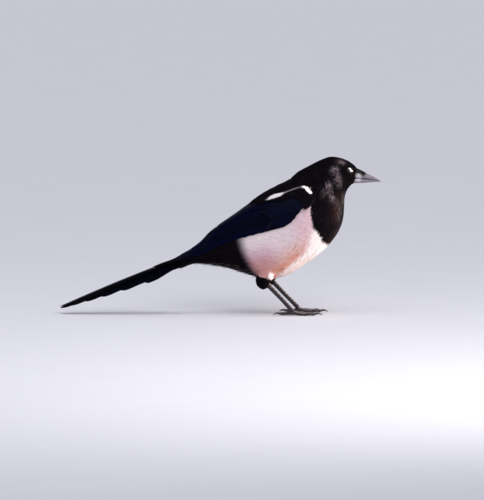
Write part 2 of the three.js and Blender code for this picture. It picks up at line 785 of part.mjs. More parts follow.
// Assembly
const plumage = new THREE.MeshStandardMaterial({ color: 0x0b0b0f, roughness: 0.55 });
const white = new THREE.MeshStandardMaterial({ color: 0xe9e4e2, roughness: 0.85 });
const gloss = new THREE.MeshStandardMaterial({ color: 0x0a1638, roughness: 0.35, metalness: 0.4 });
const horn = new THREE.MeshStandardMaterial({ color: 0x17161a, roughness: 0.3 });
const scales = new THREE.MeshStandardMaterial({ color: 0x1b191c, roughness: 0.5 });
const wet = new THREE.MeshStandardMaterial({ color: 0x120b08, roughness: 0.05 });

const magpie = new THREE.Group();

function place(name, geometry, material) {
  const mesh = new THREE.Mesh(geometry, material);
  mesh.name = name;
  magpie.add(mesh);
}

function placePair(name, geometry, material) {
  place(`${name}_left`, geometry, material);
  place(`${name}_right`, mirrored(geometry), material);
}

const bothSides = (geometry) => solid(geometry).add(solid(mirrored(geometry)));
const tailStations = [TORSO_END, (TORSO_END + lastStation) / 2, lastStation];
const bodyClearance = solid(bodyLoft([...TRUNK_STATIONS, TORSO_END + GAP / STATION_STEP], GAP));
const rumpClearance = solid(bodyLoft([...TRUNK_STATIONS.slice(HEAD_RINGS + 12), ...tailStations], GAP));

// Trunk, parted across into head, neck and torso
const beds = bothSides(wingBase(GAP)).add(bothSides(scapularBase(GAP)));
const cuts = beds.add(solid(parting(HEAD_CUT))).add(solid(parting(NECK_CUT)));
const trunk = solid(bodyLoft([...TRUNK_STATIONS, TORSO_END], 0)).subtract(cuts);
const middleX = (piece) => (piece.boundingBox().min[0] + piece.boundingBox().max[0]) / 2;
const [torsoCore, neckCore, headCore] = trunk
  .decompose()
  .sort((a, b) => b.volume() - a.volume())
  .slice(0, 3)
  .sort((a, b) => middleX(a) - middleX(b));

const billClearance = solid(billLoft(UPPER_BILL, GAP)).add(solid(billLoft(LOWER_BILL, GAP)));
const head = headCore
  .add(bothSides(lids()))
  .subtract(bothSides(eyeBall(EYE_RADIUS + GAP)))
  .subtract(solid(gapeSlit()))
  .subtract(billClearance)
  .add(bristles().map(bothSides).reduce((a, b) => a.add(b)));
place('head', geometryOf(largest(head)), plumage);
place('neck', geometryOf(largest(neckCore)), plumage);
placePair('eye', eyeBall(EYE_RADIUS), wet);
place('upper_bill', geometryOf(largest(solid(billLoft(UPPER_BILL)).subtract(bothSides(nostril())))), horn);
place('lower_bill', billLoft(LOWER_BILL), horn);

// Tail, then the torso with the feathers that lie under its root
const tailVanes = range(TAIL_PAIRS.length).flatMap((pair) => [tailVane(1, pair), tailVane(-1, pair)]);
const tail = joined([tailCore(), ...tailVanes]);
place('tail', geometryOf(largest(tail)), plumage);
place('torso', geometryOf(largest(torsoCore.add(joined(ventCoverts())))), white);

// Wings and scapulars
const scapulars = solid(scapularBase(0)).add(joined(scapularVanes()));
const scapularClearance = solid(scapularBase(GAP)).add(solid(scapularRoom()));
const farSide = solid(new THREE.BoxGeometry(500, 100, 300).translate(0, -50 + GAP / 2, 100));
const torsoClearance = bodyClearance.subtract(beds).add(rumpClearance);
const wingFeathers = joined(wingVanes()).subtract(torsoClearance);
const wing = solid(wingBase(0)).add(wingFeathers).subtract(scapularClearance);
placePair('wing', geometryOf(largest(wing.subtract(farSide))), gloss);
placePair('scapulars', geometryOf(largest(scapulars.subtract(farSide))), white);

// Legs
for (const [name, leg] of Object.entries(LEGS)) {
  const sided = (geometry) => (leg.side > 0 ? geometry : mirrored(geometry));
  const lobe = joined([thigh(leg), ...thighLocks(leg)]).subtract(solid(tarsusClearance(leg)));
  place(`thigh_${name}`, sided(geometryOf(largest(lobe.subtract(bodyClearance)))), plumage);
  const shank = solid(tarsus(leg)).subtract(solid(footClearance(leg)));
  place(`tarsus_${name}`, sided(geometryOf(largest(shank))), scales);
  const toes = joined(range(TOES.length).map((digit) => toe(leg, digit)));
  place(`foot_${name}`, sided(geometryOf(largest(toes))), scales);
  range(TOES.length).forEach((digit) => place(`claw_${name}_${digit + 1}`, sided(claw(leg, digit)), horn));
}

export default magpie;
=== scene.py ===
import math

import bpy
import numpy as np
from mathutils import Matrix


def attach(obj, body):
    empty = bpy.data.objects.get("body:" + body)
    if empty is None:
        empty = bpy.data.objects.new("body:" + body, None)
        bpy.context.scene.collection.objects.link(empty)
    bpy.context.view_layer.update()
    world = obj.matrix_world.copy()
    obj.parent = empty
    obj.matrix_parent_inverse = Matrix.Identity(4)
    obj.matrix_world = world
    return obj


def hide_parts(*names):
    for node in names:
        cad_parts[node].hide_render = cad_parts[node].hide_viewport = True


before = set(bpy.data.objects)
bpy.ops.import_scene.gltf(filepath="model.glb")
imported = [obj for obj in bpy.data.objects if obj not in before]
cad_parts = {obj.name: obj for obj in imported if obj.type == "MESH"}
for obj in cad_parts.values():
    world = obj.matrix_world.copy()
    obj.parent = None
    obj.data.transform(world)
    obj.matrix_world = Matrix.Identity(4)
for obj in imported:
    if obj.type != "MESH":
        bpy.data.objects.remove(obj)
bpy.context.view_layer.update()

# Camera: a long lens a few degrees above the bird, looking at its right side as the photo does. The middle of
# the picture and the width that it spans were measured on the bird.
MM = 0.001
PICTURE_MIDDLE = (26.9, 80.0)  # x and z
PICTURE_WIDTH = 605.0
CAMERA_DISTANCE = 6.0  # metres
CAMERA_RISE = math.radians(5)
VIEW_DEPTH = 200  # metres

lens = bpy.data.cameras.new("camera")
lens.sensor_fit = "HORIZONTAL"
lens.lens = lens.sensor_width * CAMERA_DISTANCE / (PICTURE_WIDTH * MM)
lens.clip_end = VIEW_DEPTH
camera = bpy.data.objects.new("camera", lens)
camera.location = (
    PICTURE_MIDDLE[0] * MM,
    -CAMERA_DISTANCE * math.cos(CAMERA_RISE),
    PICTURE_MIDDLE[1] * MM + CAMERA_DISTANCE * math.sin(CAMERA_RISE),
)
camera.rotation_euler = (math.pi / 2 - CAMERA_RISE, 0, 0)
bpy.context.scene.collection.objects.link(camera)
bpy.context.scene.camera = camera


# Floor: a plain pale studio floor of one flat sheet, wide enough to fill the background of every view. It
# belongs to the stage and not to the bird.
class Wire:
    """One output of a shader node. Sums on wires add Math nodes, and node() adds any other kind."""

    def __init__(self, tree, socket=None):
        self.tree = tree
        self.socket = socket

    def node(self, kind, settings=None, inputs=None, output=None):
        """Sets the settings, then its sockets' values or wires. Gives the named output, or the first."""
        node = self.tree.nodes.new(kind)
        for name, value in (settings or {}).items():
            setattr(node, name, value)
        for name, value in (inputs or {}).items():
            socket = next(s for s in node.inputs if s.enabled and name in (s.identifier, s.name))
            if isinstance(value, Wire):
                self.tree.links.new(value.socket, socket)
            elif socket.type == "RGBA":
                socket.default_value = (*value, 1.0)
            else:
                socket.default_value = value
        given = [s for s in node.outputs if s.enabled]
        chosen = [s for s in given if output in (s.identifier, s.name)] or given
        return Wire(self.tree, chosen[0] if chosen else None)

    def math(self, operation, *values):
        inputs = dict(zip(("Value", "Value_001"), values))
        return self.node("ShaderNodeMath", {"operation": operation}, inputs)

    def __add__(self, other):
        return self.math("ADD", self, other)

    def __mul__(self, other):
        return self.math("MULTIPLY", self, other)

    __radd__ = __add__
    __rmul__ = __mul__

    def step(self, low, high):
        """0 below low, 1 above high, and a smooth way between them."""
        settings = {"interpolation_type": "SMOOTHSTEP"}
        return self.node("ShaderNodeMapRange", settings, {"Value": self, "From Min": low, "From Max": high})

    def between(self, colour, other):
        """The first colour where this wire is 0 and the other where it is 1."""
        inputs = {"Factor_Float": self, "A_Color": colour, "B_Color": other}
        return self.node("ShaderNodeMix", {"data_type": "RGBA"}, inputs, "Result_Color")

    def value(self, name):
        """A number that the mesh carries under that name."""
        return self.node("ShaderNodeAttribute", {"attribute_name": name}, None, "Fac")

    def noise(self, size, stretch=(1.0, 1.0, 1.0)):
        """Soft noise over the model's own space in metres, stretched along its axes."""
        here = self.node("ShaderNodeTexCoord", None, None, "Object")
        where = self.node("ShaderNodeMapping", {"vector_type": "POINT"}, {"Vector": here, "Scale": stretch})
        return self.node("ShaderNodeTexNoise", None, {"Vector": where, "Scale": size, "Detail": 3.0}, "Fac")

    def bump(self, height, distance, strength=1.0):
        inputs = {"Height": height, "Distance": distance, "Strength": strength}
        return self.node("ShaderNodeBump", None, inputs, "Normal")


def finish(name, fixed, varied):
    """A material of one Principled shader: fixed holds its constants, varied(wire) what changes over it."""
    material = bpy.data.materials.new(name)
    material.use_nodes = True
    material.node_tree.nodes.clear()
    start = Wire(material.node_tree)
    shader = start.node("ShaderNodeBsdfPrincipled", None, {**fixed, **varied(start)}, "BSDF")
    start.node("ShaderNodeOutputMaterial", None, {"Surface": shader})
    return material


def piece(name, points, faces, material, numbers=None, maps=None, crease=None):
    """A mesh object from points in millimetres and triangles, which are turned to face outwards."""
    points, faces = np.asarray(points, float), np.asarray(faces, np.int32)
    a, b, c = (points[faces[:, k]] for k in range(3))
    if np.einsum("ij,ij->", a, np.cross(b, c)) < 0:
        faces = faces[:, ::-1]
    mesh = bpy.data.meshes.new(name)
    mesh.vertices.add(len(points))
    mesh.vertices.foreach_set("co", (points * MM).astype(np.float32).ravel())
    mesh.loops.add(faces.size)
    mesh.loops.foreach_set("vertex_index", faces.ravel())
    mesh.polygons.add(len(faces))
    mesh.polygons.foreach_set("loop_start", np.arange(0, faces.size, 3, dtype=np.int32))
    mesh.polygons.foreach_set("use_smooth", np.ones(len(faces), bool))
    mesh.update(calc_edges=True)
    if crease is not None:
        mesh.set_sharp_from_angle(angle=math.radians(crease))
    for label, values in (numbers or {}).items():
        attribute = mesh.attributes.new(label, "FLOAT", "POINT")
        attribute.data.foreach_set("value", np.asarray(values, np.float32).ravel())
    for label, uv in (maps or {}).items():
        layer = mesh.uv_layers.new(name=label)
        layer.data.foreach_set("uv", np.asarray(uv, np.float32)[faces.ravel()].ravel())
    mesh.materials.append(material)
    thing = bpy.data.objects.new(name, mesh)
    bpy.context.scene.collection.objects.link(thing)
    return thing


FLOOR_HALF = 20000.0
floor_paint = finish(
    "pale_floor",
    {"Roughness": 0.95, "Specular IOR Level": 0.0},
    lambda w: {
        "Base Color": w.noise(9.0).between((0.86, 0.87, 0.90), (0.89, 0.90, 0.93)),
    },
)
corners = [(x, y, 0.0) for x, y in ((-1, -1), (1, -1), (1, 1), (-1, 1))]
floor = piece("floor", np.array(corners) * FLOOR_HALF, [(0, 1, 2), (0, 2, 3)], floor_paint)

# Light: a plain soft studio. A warm lamp stands low beyond the bird's front, a cool one high above, and a
# broad soft box over the camera's right shoulder. A tall panel beside it lights the eyes alone.
WORLD_COLOUR, WORLD_STRENGTH = (0.86, 0.86, 1.0, 1.0), 0.38
world = bpy.data.worlds.new("studio")
world.use_nodes = True
background = world.node_tree.nodes["Background"]
background.inputs["Color"].default_value = WORLD_COLOUR
background.inputs["Strength"].default_value = WORLD_STRENGTH
bpy.context.scene.world = world
bpy.context.scene.view_settings.view_transform = "Standard"

AIM = (0.10, 0.0, 0.12)  # the spot in metres that all lamps point at
# kind, where it stands in metres, strength, colour, width in metres or angle in degrees
LAMPS = {
    "front": ("SUN", (2.0, 0.2, 0.2), 5.4, (1.0, 0.88, 0.76), 9.0),
    "high": ("SUN", (-0.2, -0.5, 2.0), 0.85, (0.93, 0.95, 1.0), 50.0),
    "soft_box": ("AREA", (0.50, -1.0, 0.80), 6.4, (1.0, 0.96, 1.0), 0.75),
    "eye_light": ("AREA", (0.70, -0.27, 0.53), 100.0, (1.0, 1.0, 1.0), 0.42),
}
EYE_LIGHT_HEIGHT = 1.7
lit_eyes = bpy.data.collections.new("lit_eyes")
for name, (kind, place, power, colour, wide) in LAMPS.items():
    lamp = bpy.data.lights.new(name, kind)
    lamp.energy = power
    lamp.color = colour
    if kind == "SUN":
        lamp.angle = math.radians(wide)
    else:
        lamp.size = wide
    holder = bpy.data.objects.new(name, lamp)
    x, y, z = (p - a for p, a in zip(place, AIM))
    holder.location = place
    holder.rotation_euler = (math.atan2(math.hypot(x, y), z), 0, math.atan2(y, x) + math.pi / 2)
    if name == "eye_light":
        lamp.shape = "RECTANGLE"
        lamp.size_y = EYE_LIGHT_HEIGHT
        holder.light_linking.receiver_collection = lit_eyes
        holder.visible_camera = False
    bpy.context.scene.collection.objects.link(holder)

# Skin: the bird's skin from the face to the root of the tail and down to the ankles, under the tips of the
# small feathers. It is one closed surface, lofted through the stations that give the model its outline, and
# it carries the same black and white as the coat.

# Each row: top x, top z, underside x, underside z, half-width, how much fuller it is above than below.
STATIONS = np.array([
    (169.8, 184.0, 166.5, 163.2, 7.6, 0.0),
    (163.5, 189.0, 163.0, 161.6, 11.2, -0.05),
    (156.5, 193.0, 158.8, 156.6, 14.2, -0.08),
    (147.5, 195.8, 155.8, 150.0, 16.6, -0.1),
    (136.0, 196.6, 154.6, 142.5, 18.8, -0.1),
    (122.0, 191.2, 154.2, 133.5, 22.0, -0.06),
    (108.5, 184.2, 153.2, 121.5, 26.5, -0.04),
    (96.0, 177.0, 149.5, 108.0, 31.5, -0.02),
    (84.0, 166.3, 141.0, 94.0, 36.0, 0.0),
    (70.0, 158.6, 127.0, 78.6, 39.0, 0.0),
    (54.0, 149.0, 105.0, 62.6, 40.0, 0.0),
    (37.0, 135.5, 82.0, 48.8, 38.5, 0.0),
    (20.0, 121.5, 57.0, 43.8, 34.0, 0.0),
    (3.5, 109.0, 36.0, 50.5, 27.5, 0.0),
    (-11.0, 98.5, 15.0, 57.3, 20.0, 0.0),
    (-24.0, 85.5, -7.0, 62.0, 14.0, 0.0),
    (-38.0, 76.0, -30.0, 64.2, 9.5, 0.0),
    (-52.0, 70.6, -46.0, 59.0, 9.5, 0.0),
    (-66.0, 65.0, -60.0, 52.6, 11.5, 0.0),
])
BODY_END = 16.0

# Where black meets white on each side, as degrees from the top over the flank, and the station there: the
# rear edge of the bib, and the front edge of the black vent. Above WHITE_TOP the back is black.
BIB_EDGE = [(0, 5.6), (40, 6.2), (60, 6.7), (81, 7.65), (90, 8.07), (102, 8.4), (111, 8.58), (121, 8.54),
            (132, 8.58), (144, 8.66), (163, 8.5), (180, 8.45)]
VENT_EDGE = [(0, 12.7), (68, 12.81), (82, 12.91), (102, 13.01), (114, 13.0), (127, 13.0), (141, 12.98),
             (157, 12.85), (180, 12.7)]
WHITE_TOP = 62.0
# the white greys towards the vent as a soft edge to the black, and as painted shade there
REAR_FADE = 1.2, 1.25  # stations over which the white greys towards the vent, on the flank and low down


def spline(rows, t):
    """A smooth line through evenly spaced rows, read at t in rows."""
    rows = np.asarray(rows, float)
    padded = np.vstack([2 * rows[0] - rows[1], rows, 2 * rows[-1] - rows[-2]])
    t = np.clip(np.asarray(t, float), 0, len(rows) - 1)
    i = np.minimum(np.floor(t).astype(int), len(rows) - 2)
    w = (t - i)[..., None]
    a, b, c, d = (padded[i + k] for k in range(4))
    out, into = (c - a) / 2, (d - b) / 2
    return ((2 * b - 2 * c + out + into) * w + (-3 * b + 3 * c - 2 * out - into)) * w**2 + out * w + b


def unit(vectors):
    return vectors / np.linalg.norm(vectors, axis=-1, keepdims=True)


def smooth(x, low, high):
    t = np.clip((np.asarray(x, float) - low) / (high - low), 0, 1)
    return t * t * (3 - 2 * t)


def mix(a, b, t):
    return a + (b - a) * t


def body(station, angle, height=0.0):
    """A point over the body: angle 0 is the top, pi/2 the left side, pi the underside."""
    station, angle, height = np.broadcast_arrays(station, angle, height)

    def flat(s, a):
        row = spline(STATIONS, s)
        rise = (1 + np.cos(a)) / 2
        x = mix(row[..., 2], row[..., 0], rise)
        z = mix(row[..., 3], row[..., 1], rise)
        y = row[..., 4] * np.sin(a) * (1 + row[..., 5] * np.cos(a))
        return np.stack([x, y, z], -1)

    e = 0.01
    s = np.clip(station, e, len(STATIONS) - 1 - e)
    normal = unit(np.cross(flat(s, angle + e) - flat(s, angle - e), flat(s + e, angle) - flat(s - e, angle)))
    return flat(station, angle) + normal * height[..., None]


def down(angle):
    """Degrees from the top down either side."""
    return np.degrees(np.pi - np.abs(np.pi - np.mod(angle, 2 * np.pi)))


def white_share(station, angle):
    """1 where the plumage is white and 0 where it is black."""
    away = down(angle)
    front = np.interp(away, *zip(*BIB_EDGE))
    rear = np.interp(away, *zip(*VENT_EDGE))
    fades = smooth((rear - station) / mix(*REAR_FADE, smooth(away, 108, 126)), -0.1, 1)
    return smooth(station - front, -0.04, 0.04) * fades * smooth(away, WHITE_TOP - 2, WHITE_TOP + 2)


def lattice(rows, columns):
    return np.meshgrid(rows, columns, indexing="ij")


def sheet(rows, columns, ring=False):
    """The triangles of a grid of points, joined round its columns if they are rings."""
    i, j = lattice(np.arange(rows - 1), np.arange(columns if ring else columns - 1))
    k = (j + 1) % columns
    a, b, c, d = i * columns + j, (i + 1) * columns + j, (i + 1) * columns + k, i * columns + k
    return np.concatenate([np.stack([a, b, c], -1).reshape(-1, 3), np.stack([a, c, d], -1).reshape(-1, 3)])


END_RINGS = 0.4, 0.75, 0.95  # where the rings of a rounded end lie, as shares of its reach


def closed(rings, front=(0, 0, 0), back=(0, 0, 0)):
    """Points and triangles of a skin through rings, with round ends that reach out by front and back."""
    def end(ring, reach):
        middle = ring.mean(0)
        return [middle + (ring - middle) * math.sqrt(1 - k * k) + np.array(reach) * k for k in END_RINGS]

    rings = np.concatenate([end(rings[0], front)[::-1], rings, end(rings[-1], back)])
    count, sides = rings.shape[:2]
    poles = [rings[0].mean(0) + np.array(front) * 0.05, rings[-1].mean(0) + np.array(back) * 0.05]
    turn = np.arange(sides)
    after = (turn + 1) % sides
    first = np.stack([np.full(sides, count * sides), turn, after], -1)
    rear = (count - 1) * sides
    last = np.stack([np.full(sides, count * sides + 1), turn + rear, after + rear], -1)
    faces = np.concatenate([sheet(count, sides, ring=True), first, last[:, ::-1]])
    return np.concatenate([rings.reshape(-1, 3), poles]), faces


def on_rings(values):
    """Numbers for the points of a closed skin: as given on its own rings, and 0 on its rounded ends."""
    end = np.zeros(len(END_RINGS) * values.shape[1])
    return np.concatenate([end, values.ravel(), end, (0, 0)])


def tube(centres, radii, squash=1.0):
    """A surface round a bent line: u runs along it from 0 to 1, v round it from its front."""
    centres, radii = np.asarray(centres, float), np.asarray(radii, float)[:, None]

    def surface(u, v, height=0.0):
        u, v, height = np.broadcast_arrays(u, v, height)
        t = u * (len(centres) - 1)
        middle = spline(centres, t)
        t = np.clip(t, 0.02, len(centres) - 1.02)
        along = unit(spline(centres, t + 0.02) - spline(centres, t - 0.02))
        side = unit(np.cross(np.cross(np.array([0.0, 1.0, 0.0]), along), along))
        radius = spline(radii, u * (len(radii) - 1))[..., 0] + height
        reach = np.cos(v)[..., None] * np.cross(side, along) + squash * np.sin(v)[..., None] * side
        return middle + radius[..., None] * reach

    return surface


def rounds(rows, sides):
    """The places of a grid of rings: one along the rows for each, and one right round it."""
    return lattice(rows, np.linspace(0, 2 * np.pi, sides, endpoint=False))


def together(skins):
    """Points and triangles of several skins as one."""
    points, faces = zip(*skins)
    starts = np.cumsum([0, *map(len, points)])
    return np.concatenate(points), np.concatenate([own + start for own, start in zip(faces, starts)])


def plumage_colours(w):
    """Small feathers: soft white with greyer bases, or black with a brown to violet cast, and painted light
    and shade.

    The mesh carries white, tone, along, lit for painted grey-brown highlights on the black, warm for painted
    maroon highlights on the black and painted brownish shade and reflected light on the white, and
    flush for painted pink shade on the white, or else they are 0."""
    patchy = w.noise(60.0)
    fine = w.noise(900.0)
    along, tone = w.value("along"), w.value("tone")
    pale = patchy.between((0.90, 0.87, 0.85), (0.94, 0.91, 0.89))
    # painted shade on the white: pink where the flank is shaded, brownish low down and in the crease, where
    # it also stands for warm reflected light
    pale = w.value("flush").between(pale, (0.62, 0.34, 0.41))
    pale = w.value("warm").between(pale, (0.62, 0.265, 0.175))
    pale = (along.step(0.7, 0.1) * 0.25).between(pale, (0.52, 0.38, 0.43))
    pale = (tone * 0.15).between(pale, (0.70, 0.55, 0.59))
    jet = patchy.between((0.0018, 0.0014, 0.0030), (0.0035, 0.0028, 0.0042))
    dark = (tone * fine).between(jet, (0.010, 0.008, 0.009))
    # painted highlights on the black: maroon ones under warm, grey-brown ones under lit
    dark = w.value("warm").between(dark, (0.045, 0.009, 0.010))
    dark = w.value("lit").between(dark, (0.28, 0.215, 0.232))
    return w.value("white").step(0.05, 0.95).between(dark, pale)


def barbs(w, pitch):
    """Fine slanted ribs on both sides of a feather's shaft. Its places are in millimetres."""
    across = w.math("ABSOLUTE", w.value("across"))
    return w.math("SINE", (w.value("reach") + across * 0.9) * (2 * math.pi / pitch))


skin_paint = finish(
    "feathered_skin",
    {"Specular IOR Level": 0.03},
    lambda w: {
        "Base Color": plumage_colours(w),
        "Roughness": w.noise(300.0) * 0.2 + 0.7,
        "Normal": w.bump(w.noise(700.0, (1.0, 1.0, 3.0)), 0.0006),
    },
)

# how far the skin lies under the coat's outline, at each station
COAT_DEPTH = [(0, 0.4), (1, 0.7), (3, 1.0), (6, 1.8), (9, 2.4), (14, 2.2), (16, 1.4)]
SKIN_RINGS, SKIN_SIDES = 170, 112

# side, knee, lobe and ankle of each leg, and the joint of its toes
LEGS = {
    "left": (1, (68, 15, 66), (60, 18, 42), (67, 19, 37), (98.6, 21, 4.6)),
    "right": (-1, (62, 15, 66), (53.5, 18, 41.5), (61, 19, 36), (91, 21, 4.6)),
}


def joints(side):
    """The places of a leg's joints, with the right leg's on the right."""
    sign, *places = LEGS[side]
    return [np.array(place, float) * (1, sign, 1) for place in places]


THIGH_RADII = 8, 9, 8.2, 2.2  # at the knee, half-way, at the lobe and at the ankle
THIGH_RINGS, THIGH_SIDES, THIGH_DEPTH = 30, 32, 1.4


def thigh(side):
    knee, lobe, ankle, _ = joints(side)
    middle = knee + (lobe - knee) * (0.6, 0.5, 0.5)
    return tube([knee, middle, lobe, ankle + (-4.0, 0, -2.5)], THIGH_RADII)


s, a = rounds(np.linspace(0, BODY_END, SKIN_RINGS), SKIN_SIDES)
skins = [closed(body(s, a, -np.interp(s, *zip(*COAT_DEPTH))), front=(1.5, 0, 0), back=(-2.2, 0, -0.8))]
u, v = rounds(np.linspace(0, 1, THIGH_RINGS), THIGH_SIDES)
skins += [closed(thigh(side)(u, v, -THIGH_DEPTH)) for side in LEGS]
points, faces = together(skins)
white = on_rings(white_share(s, a))
skin = piece("skin", points, faces, skin_paint, {"white": np.pad(white, (0, len(points) - len(white)))})
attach(skin, "root")
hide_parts("head", "neck", "torso", "thigh_left", "thigh_right")

# Small feathers: thousands of thin, domed vanes with ragged tips, rooted in the skin in rings and laid
# backwards over one another. They are shortest on the face and longest on the flanks. Each is closed.

# station: length, width, way from one ring to the next, way from one feather to the next
COAT = [
    (0.0, 2.8, 1.2, 0.9, 0.70),
    (1.2, 3.4, 1.4, 1.1, 0.8),
    (2.4, 5.2, 1.9, 1.4, 1.0),
    (4.0, 7.5, 2.6, 1.8, 1.3),
    (5.5, 10.0, 3.3, 2.1, 1.6),
    (7.5, 12.5, 3.9, 2.4, 1.8),
    (9.0, 14.5, 4.6, 2.6, 2.1),
    (11.0, 16.5, 5.4, 2.9, 2.3),
    (13.0, 15.5, 5.0, 2.8, 2.2),
    (16.0, 14.0, 4.6, 2.7, 2.1),
]


def coat_size(station):
    stations, *sizes = zip(*COAT)
    return [np.interp(station, stations, size) for size in sizes]


def outline(t, base=0.55, rounded=0.3, pointed=0.93):
    """How wide a feather is along its length, as a share of its widest. Its last part is rounded off."""
    rounding = np.sqrt(1 - np.clip((t - (1 - rounded)) / rounded, 0, 1) ** 2 * pointed)
    return mix(base, 1, smooth(t, 0, 0.4)) * rounding


PLUME_ROWS = np.array([0.0, 0.3, 0.58, 0.82, 1.0])
PLUME_COLUMNS = np.linspace(-1, 1, 7)
UNEVEN_WIDTH, UNEVEN_LIFT = 0.16, 0.2  # how much feathers differ: a share of the width, and millimetres
PATCH = 0.003  # size of a feather's patch on the bake map
FEATHER_CREASE = 50  # angle from which an edge of a feather is shaded as sharp


def lens_faces(rows, columns):
    """The triangles of one feather: a domed top, and a flat underside between the same edges."""
    last = columns - 1
    faces = sheet(rows, columns).tolist()
    for i in range(rows - 1):
        a, b, c, d = i * columns, i * columns + last, (i + 1) * columns + last, (i + 1) * columns
        faces += [(a, b, c), (a, c, d)]
    for j in range(1, last):
        faces += [(0, j, j + 1)]
        base = (rows - 1) * columns
        faces += [(base, base + j + 1, base + j)]
    return np.array(faces)


def copies(faces, count, points_each):
    return (faces[None] + (np.arange(count) * points_each)[:, None, None]).reshape(-1, 3)


def scatter(rng, wide, shape):
    """Random steps of up to half of wide either way."""
    return wide * (rng.random(shape) - 0.5)


def carried(shape, **numbers):
    """Numbers for all points of a grid of that shape."""
    return {name: np.broadcast_to(number, shape).ravel() for name, number in numbers.items()}


def dots(a, b):
    return np.einsum("ij,ij->i", a, b)


def plumes(surface, u, v, length, width, low, high, turn=0.0, ragged=0.5, dome=0.12, curl=0.0, seed=1):
    """Small feathers rooted at (u, v) and turned from a surface's u lines: points, faces, numbers and grid.

    low and high are heights of root and tip; ragged is how deep the tip is split, as a share of the width."""
    rng = np.random.default_rng(seed)
    u, v = np.asarray(u, float), np.asarray(v, float)
    count = len(u)
    length, width, low, high, turn, curl = (
        np.broadcast_to(np.asarray(x, float), count)[:, None, None]
        for x in (length, width, low, high, turn, curl)
    )
    e = 1e-3
    du = (surface(u + e, v) - surface(u - e, v)) / (2 * e)
    dv = (surface(u, v + e) - surface(u, v - e)) / (2 * e)
    forward = unit(du)
    aside = unit(dv - dots(dv, forward)[:, None] * forward)
    turned = turn[:, 0]
    ahead = np.cos(turned) * forward + np.sin(turned) * aside
    beside = np.cos(turned) * aside - np.sin(turned) * forward
    uu, uv, vv = dots(du, du), dots(du, dv), dots(dv, dv)
    area = uu * vv - uv * uv

    def steps(direction):
        p, q = dots(du, direction), dots(dv, direction)
        return ((vv * p - uv * q) / area)[:, None, None], ((uu * q - uv * p) / area)[:, None, None]

    t, c = lattice(PLUME_ROWS, PLUME_COLUMNS)
    rows, columns = t.shape
    t, c = np.broadcast_to(t, (count, rows, columns)).copy(), np.broadcast_to(c, (count, rows, columns))
    half = width / 2 * outline(t) * (1 + scatter(rng, UNEVEN_WIDTH, (count, rows, columns)))
    split = ragged * (width / length) * (rng.random((count, columns)) - 0.35)[:, None, :]
    split = split * np.where(np.arange(columns) % 2, 1.5, -0.6)
    t += np.where(t > 0.9, split - 0.16 * c**2, np.where(t > 0.7, -0.05 * c**2, 0.0))
    reach, across = t * length, c * half
    (ahead_u, ahead_v), (beside_u, beside_v) = steps(ahead), steps(beside)
    place_u = u[:, None, None] + reach * ahead_u + across * beside_u
    place_v = v[:, None, None] + reach * ahead_v + across * beside_v
    height = mix(low, high, np.clip(t, 0, 1.2) ** 0.8) + dome * width * (1 - c**2) * outline(t) + curl * t**3
    height += scatter(rng, UNEVEN_LIFT, (count, 1, 1)) * np.clip(t, 0, 1)
    points = surface(place_u, place_v, height).reshape(-1, 3)
    faces = copies(lens_faces(rows, columns), count, rows * columns)
    numbers = carried(t.shape, along=t, reach=reach, across=across, tone=rng.random((count, 1, 1)))
    return points, faces, numbers, (t, c, place_u, place_v)


plume_paint = finish(
    "small_feathers",
    {"Specular IOR Level": 0.01},
    lambda w: {
        "Base Color": plumage_colours(w),
        "Roughness": w.value("white") * 0.2 + 0.55,
        "Normal": w.bump(barbs(w, 0.6) * 0.4 + w.noise(1500.0), 0.0002, 0.3),
    },
)


def plumed(name, points, faces, numbers, grid, u, v, paint=plume_paint):
    """One piece of small feathers, each on a patch of the bake map round its root's place (u, v)."""
    t, c, *_ = grid
    across, along = u[:, None, None] + PATCH / 2 * c, v[:, None, None] + PATCH * (np.clip(t, 0, 1) - 0.5)
    bake = np.stack([across, along], -1).reshape(-1, 2)
    return piece(name, points, faces, paint, numbers, {"OFBake": bake}, FEATHER_CREASE)


# Folded wing and shoulder, as far as the small feathers have to leave them free: [station, degrees from the
# top]
WING_LOWER = [
    (7.45, 80), (8.2, 77.5), (8.8, 80), (9.4, 84.5), (9.95, 84.5), (10.7, 77), (11.5, 70), (12.5, 64.5),
    (13.8, 66), (15.1, 72), (16.2, 78), (17.2, 76),
]
WING_UPPER = [
    (7.2, 69), (7.35, 52), (7.8, 42), (8.6, 32), (9.6, 23), (10.5, 14), (11.4, 7), (12.5, 5), (13.6, 5.5),
    (14.8, 7), (15.9, 14), (17.2, 34),
]
UNDER_WING = 9.0  # degrees that the coat reaches in under the wing's edges
WING_SPAN = 8.6, 15.4  # stations between which the coat is left out under it
# radius of the eye's ball and of the opening between the lids, and its place on the head
EYE_RADIUS, EYE_OPENING = 5.4, 4.0
EYE_STATION, EYE_ANGLE = 1.25, math.radians(69)
EYE_CLEARANCE = 0.6  # how far the coat keeps off the opening


def turns(angle):
    """An angle as a share of the whole turn."""
    return np.mod(angle / (2 * np.pi), 1)


def under_wing(station, angle):
    away = down(angle)
    lower, upper = np.interp(station, *zip(*WING_LOWER)), np.interp(station, *zip(*WING_UPPER))
    inside = np.minimum(lower - UNDER_WING - away, away - upper - UNDER_WING)
    return (inside > 0) & (station > WING_SPAN[0]) & (station < WING_SPAN[1])


PROBES, STRIDE = 361, 0.05  # where a ring's arc is measured, and how far the stretch between rings is probed


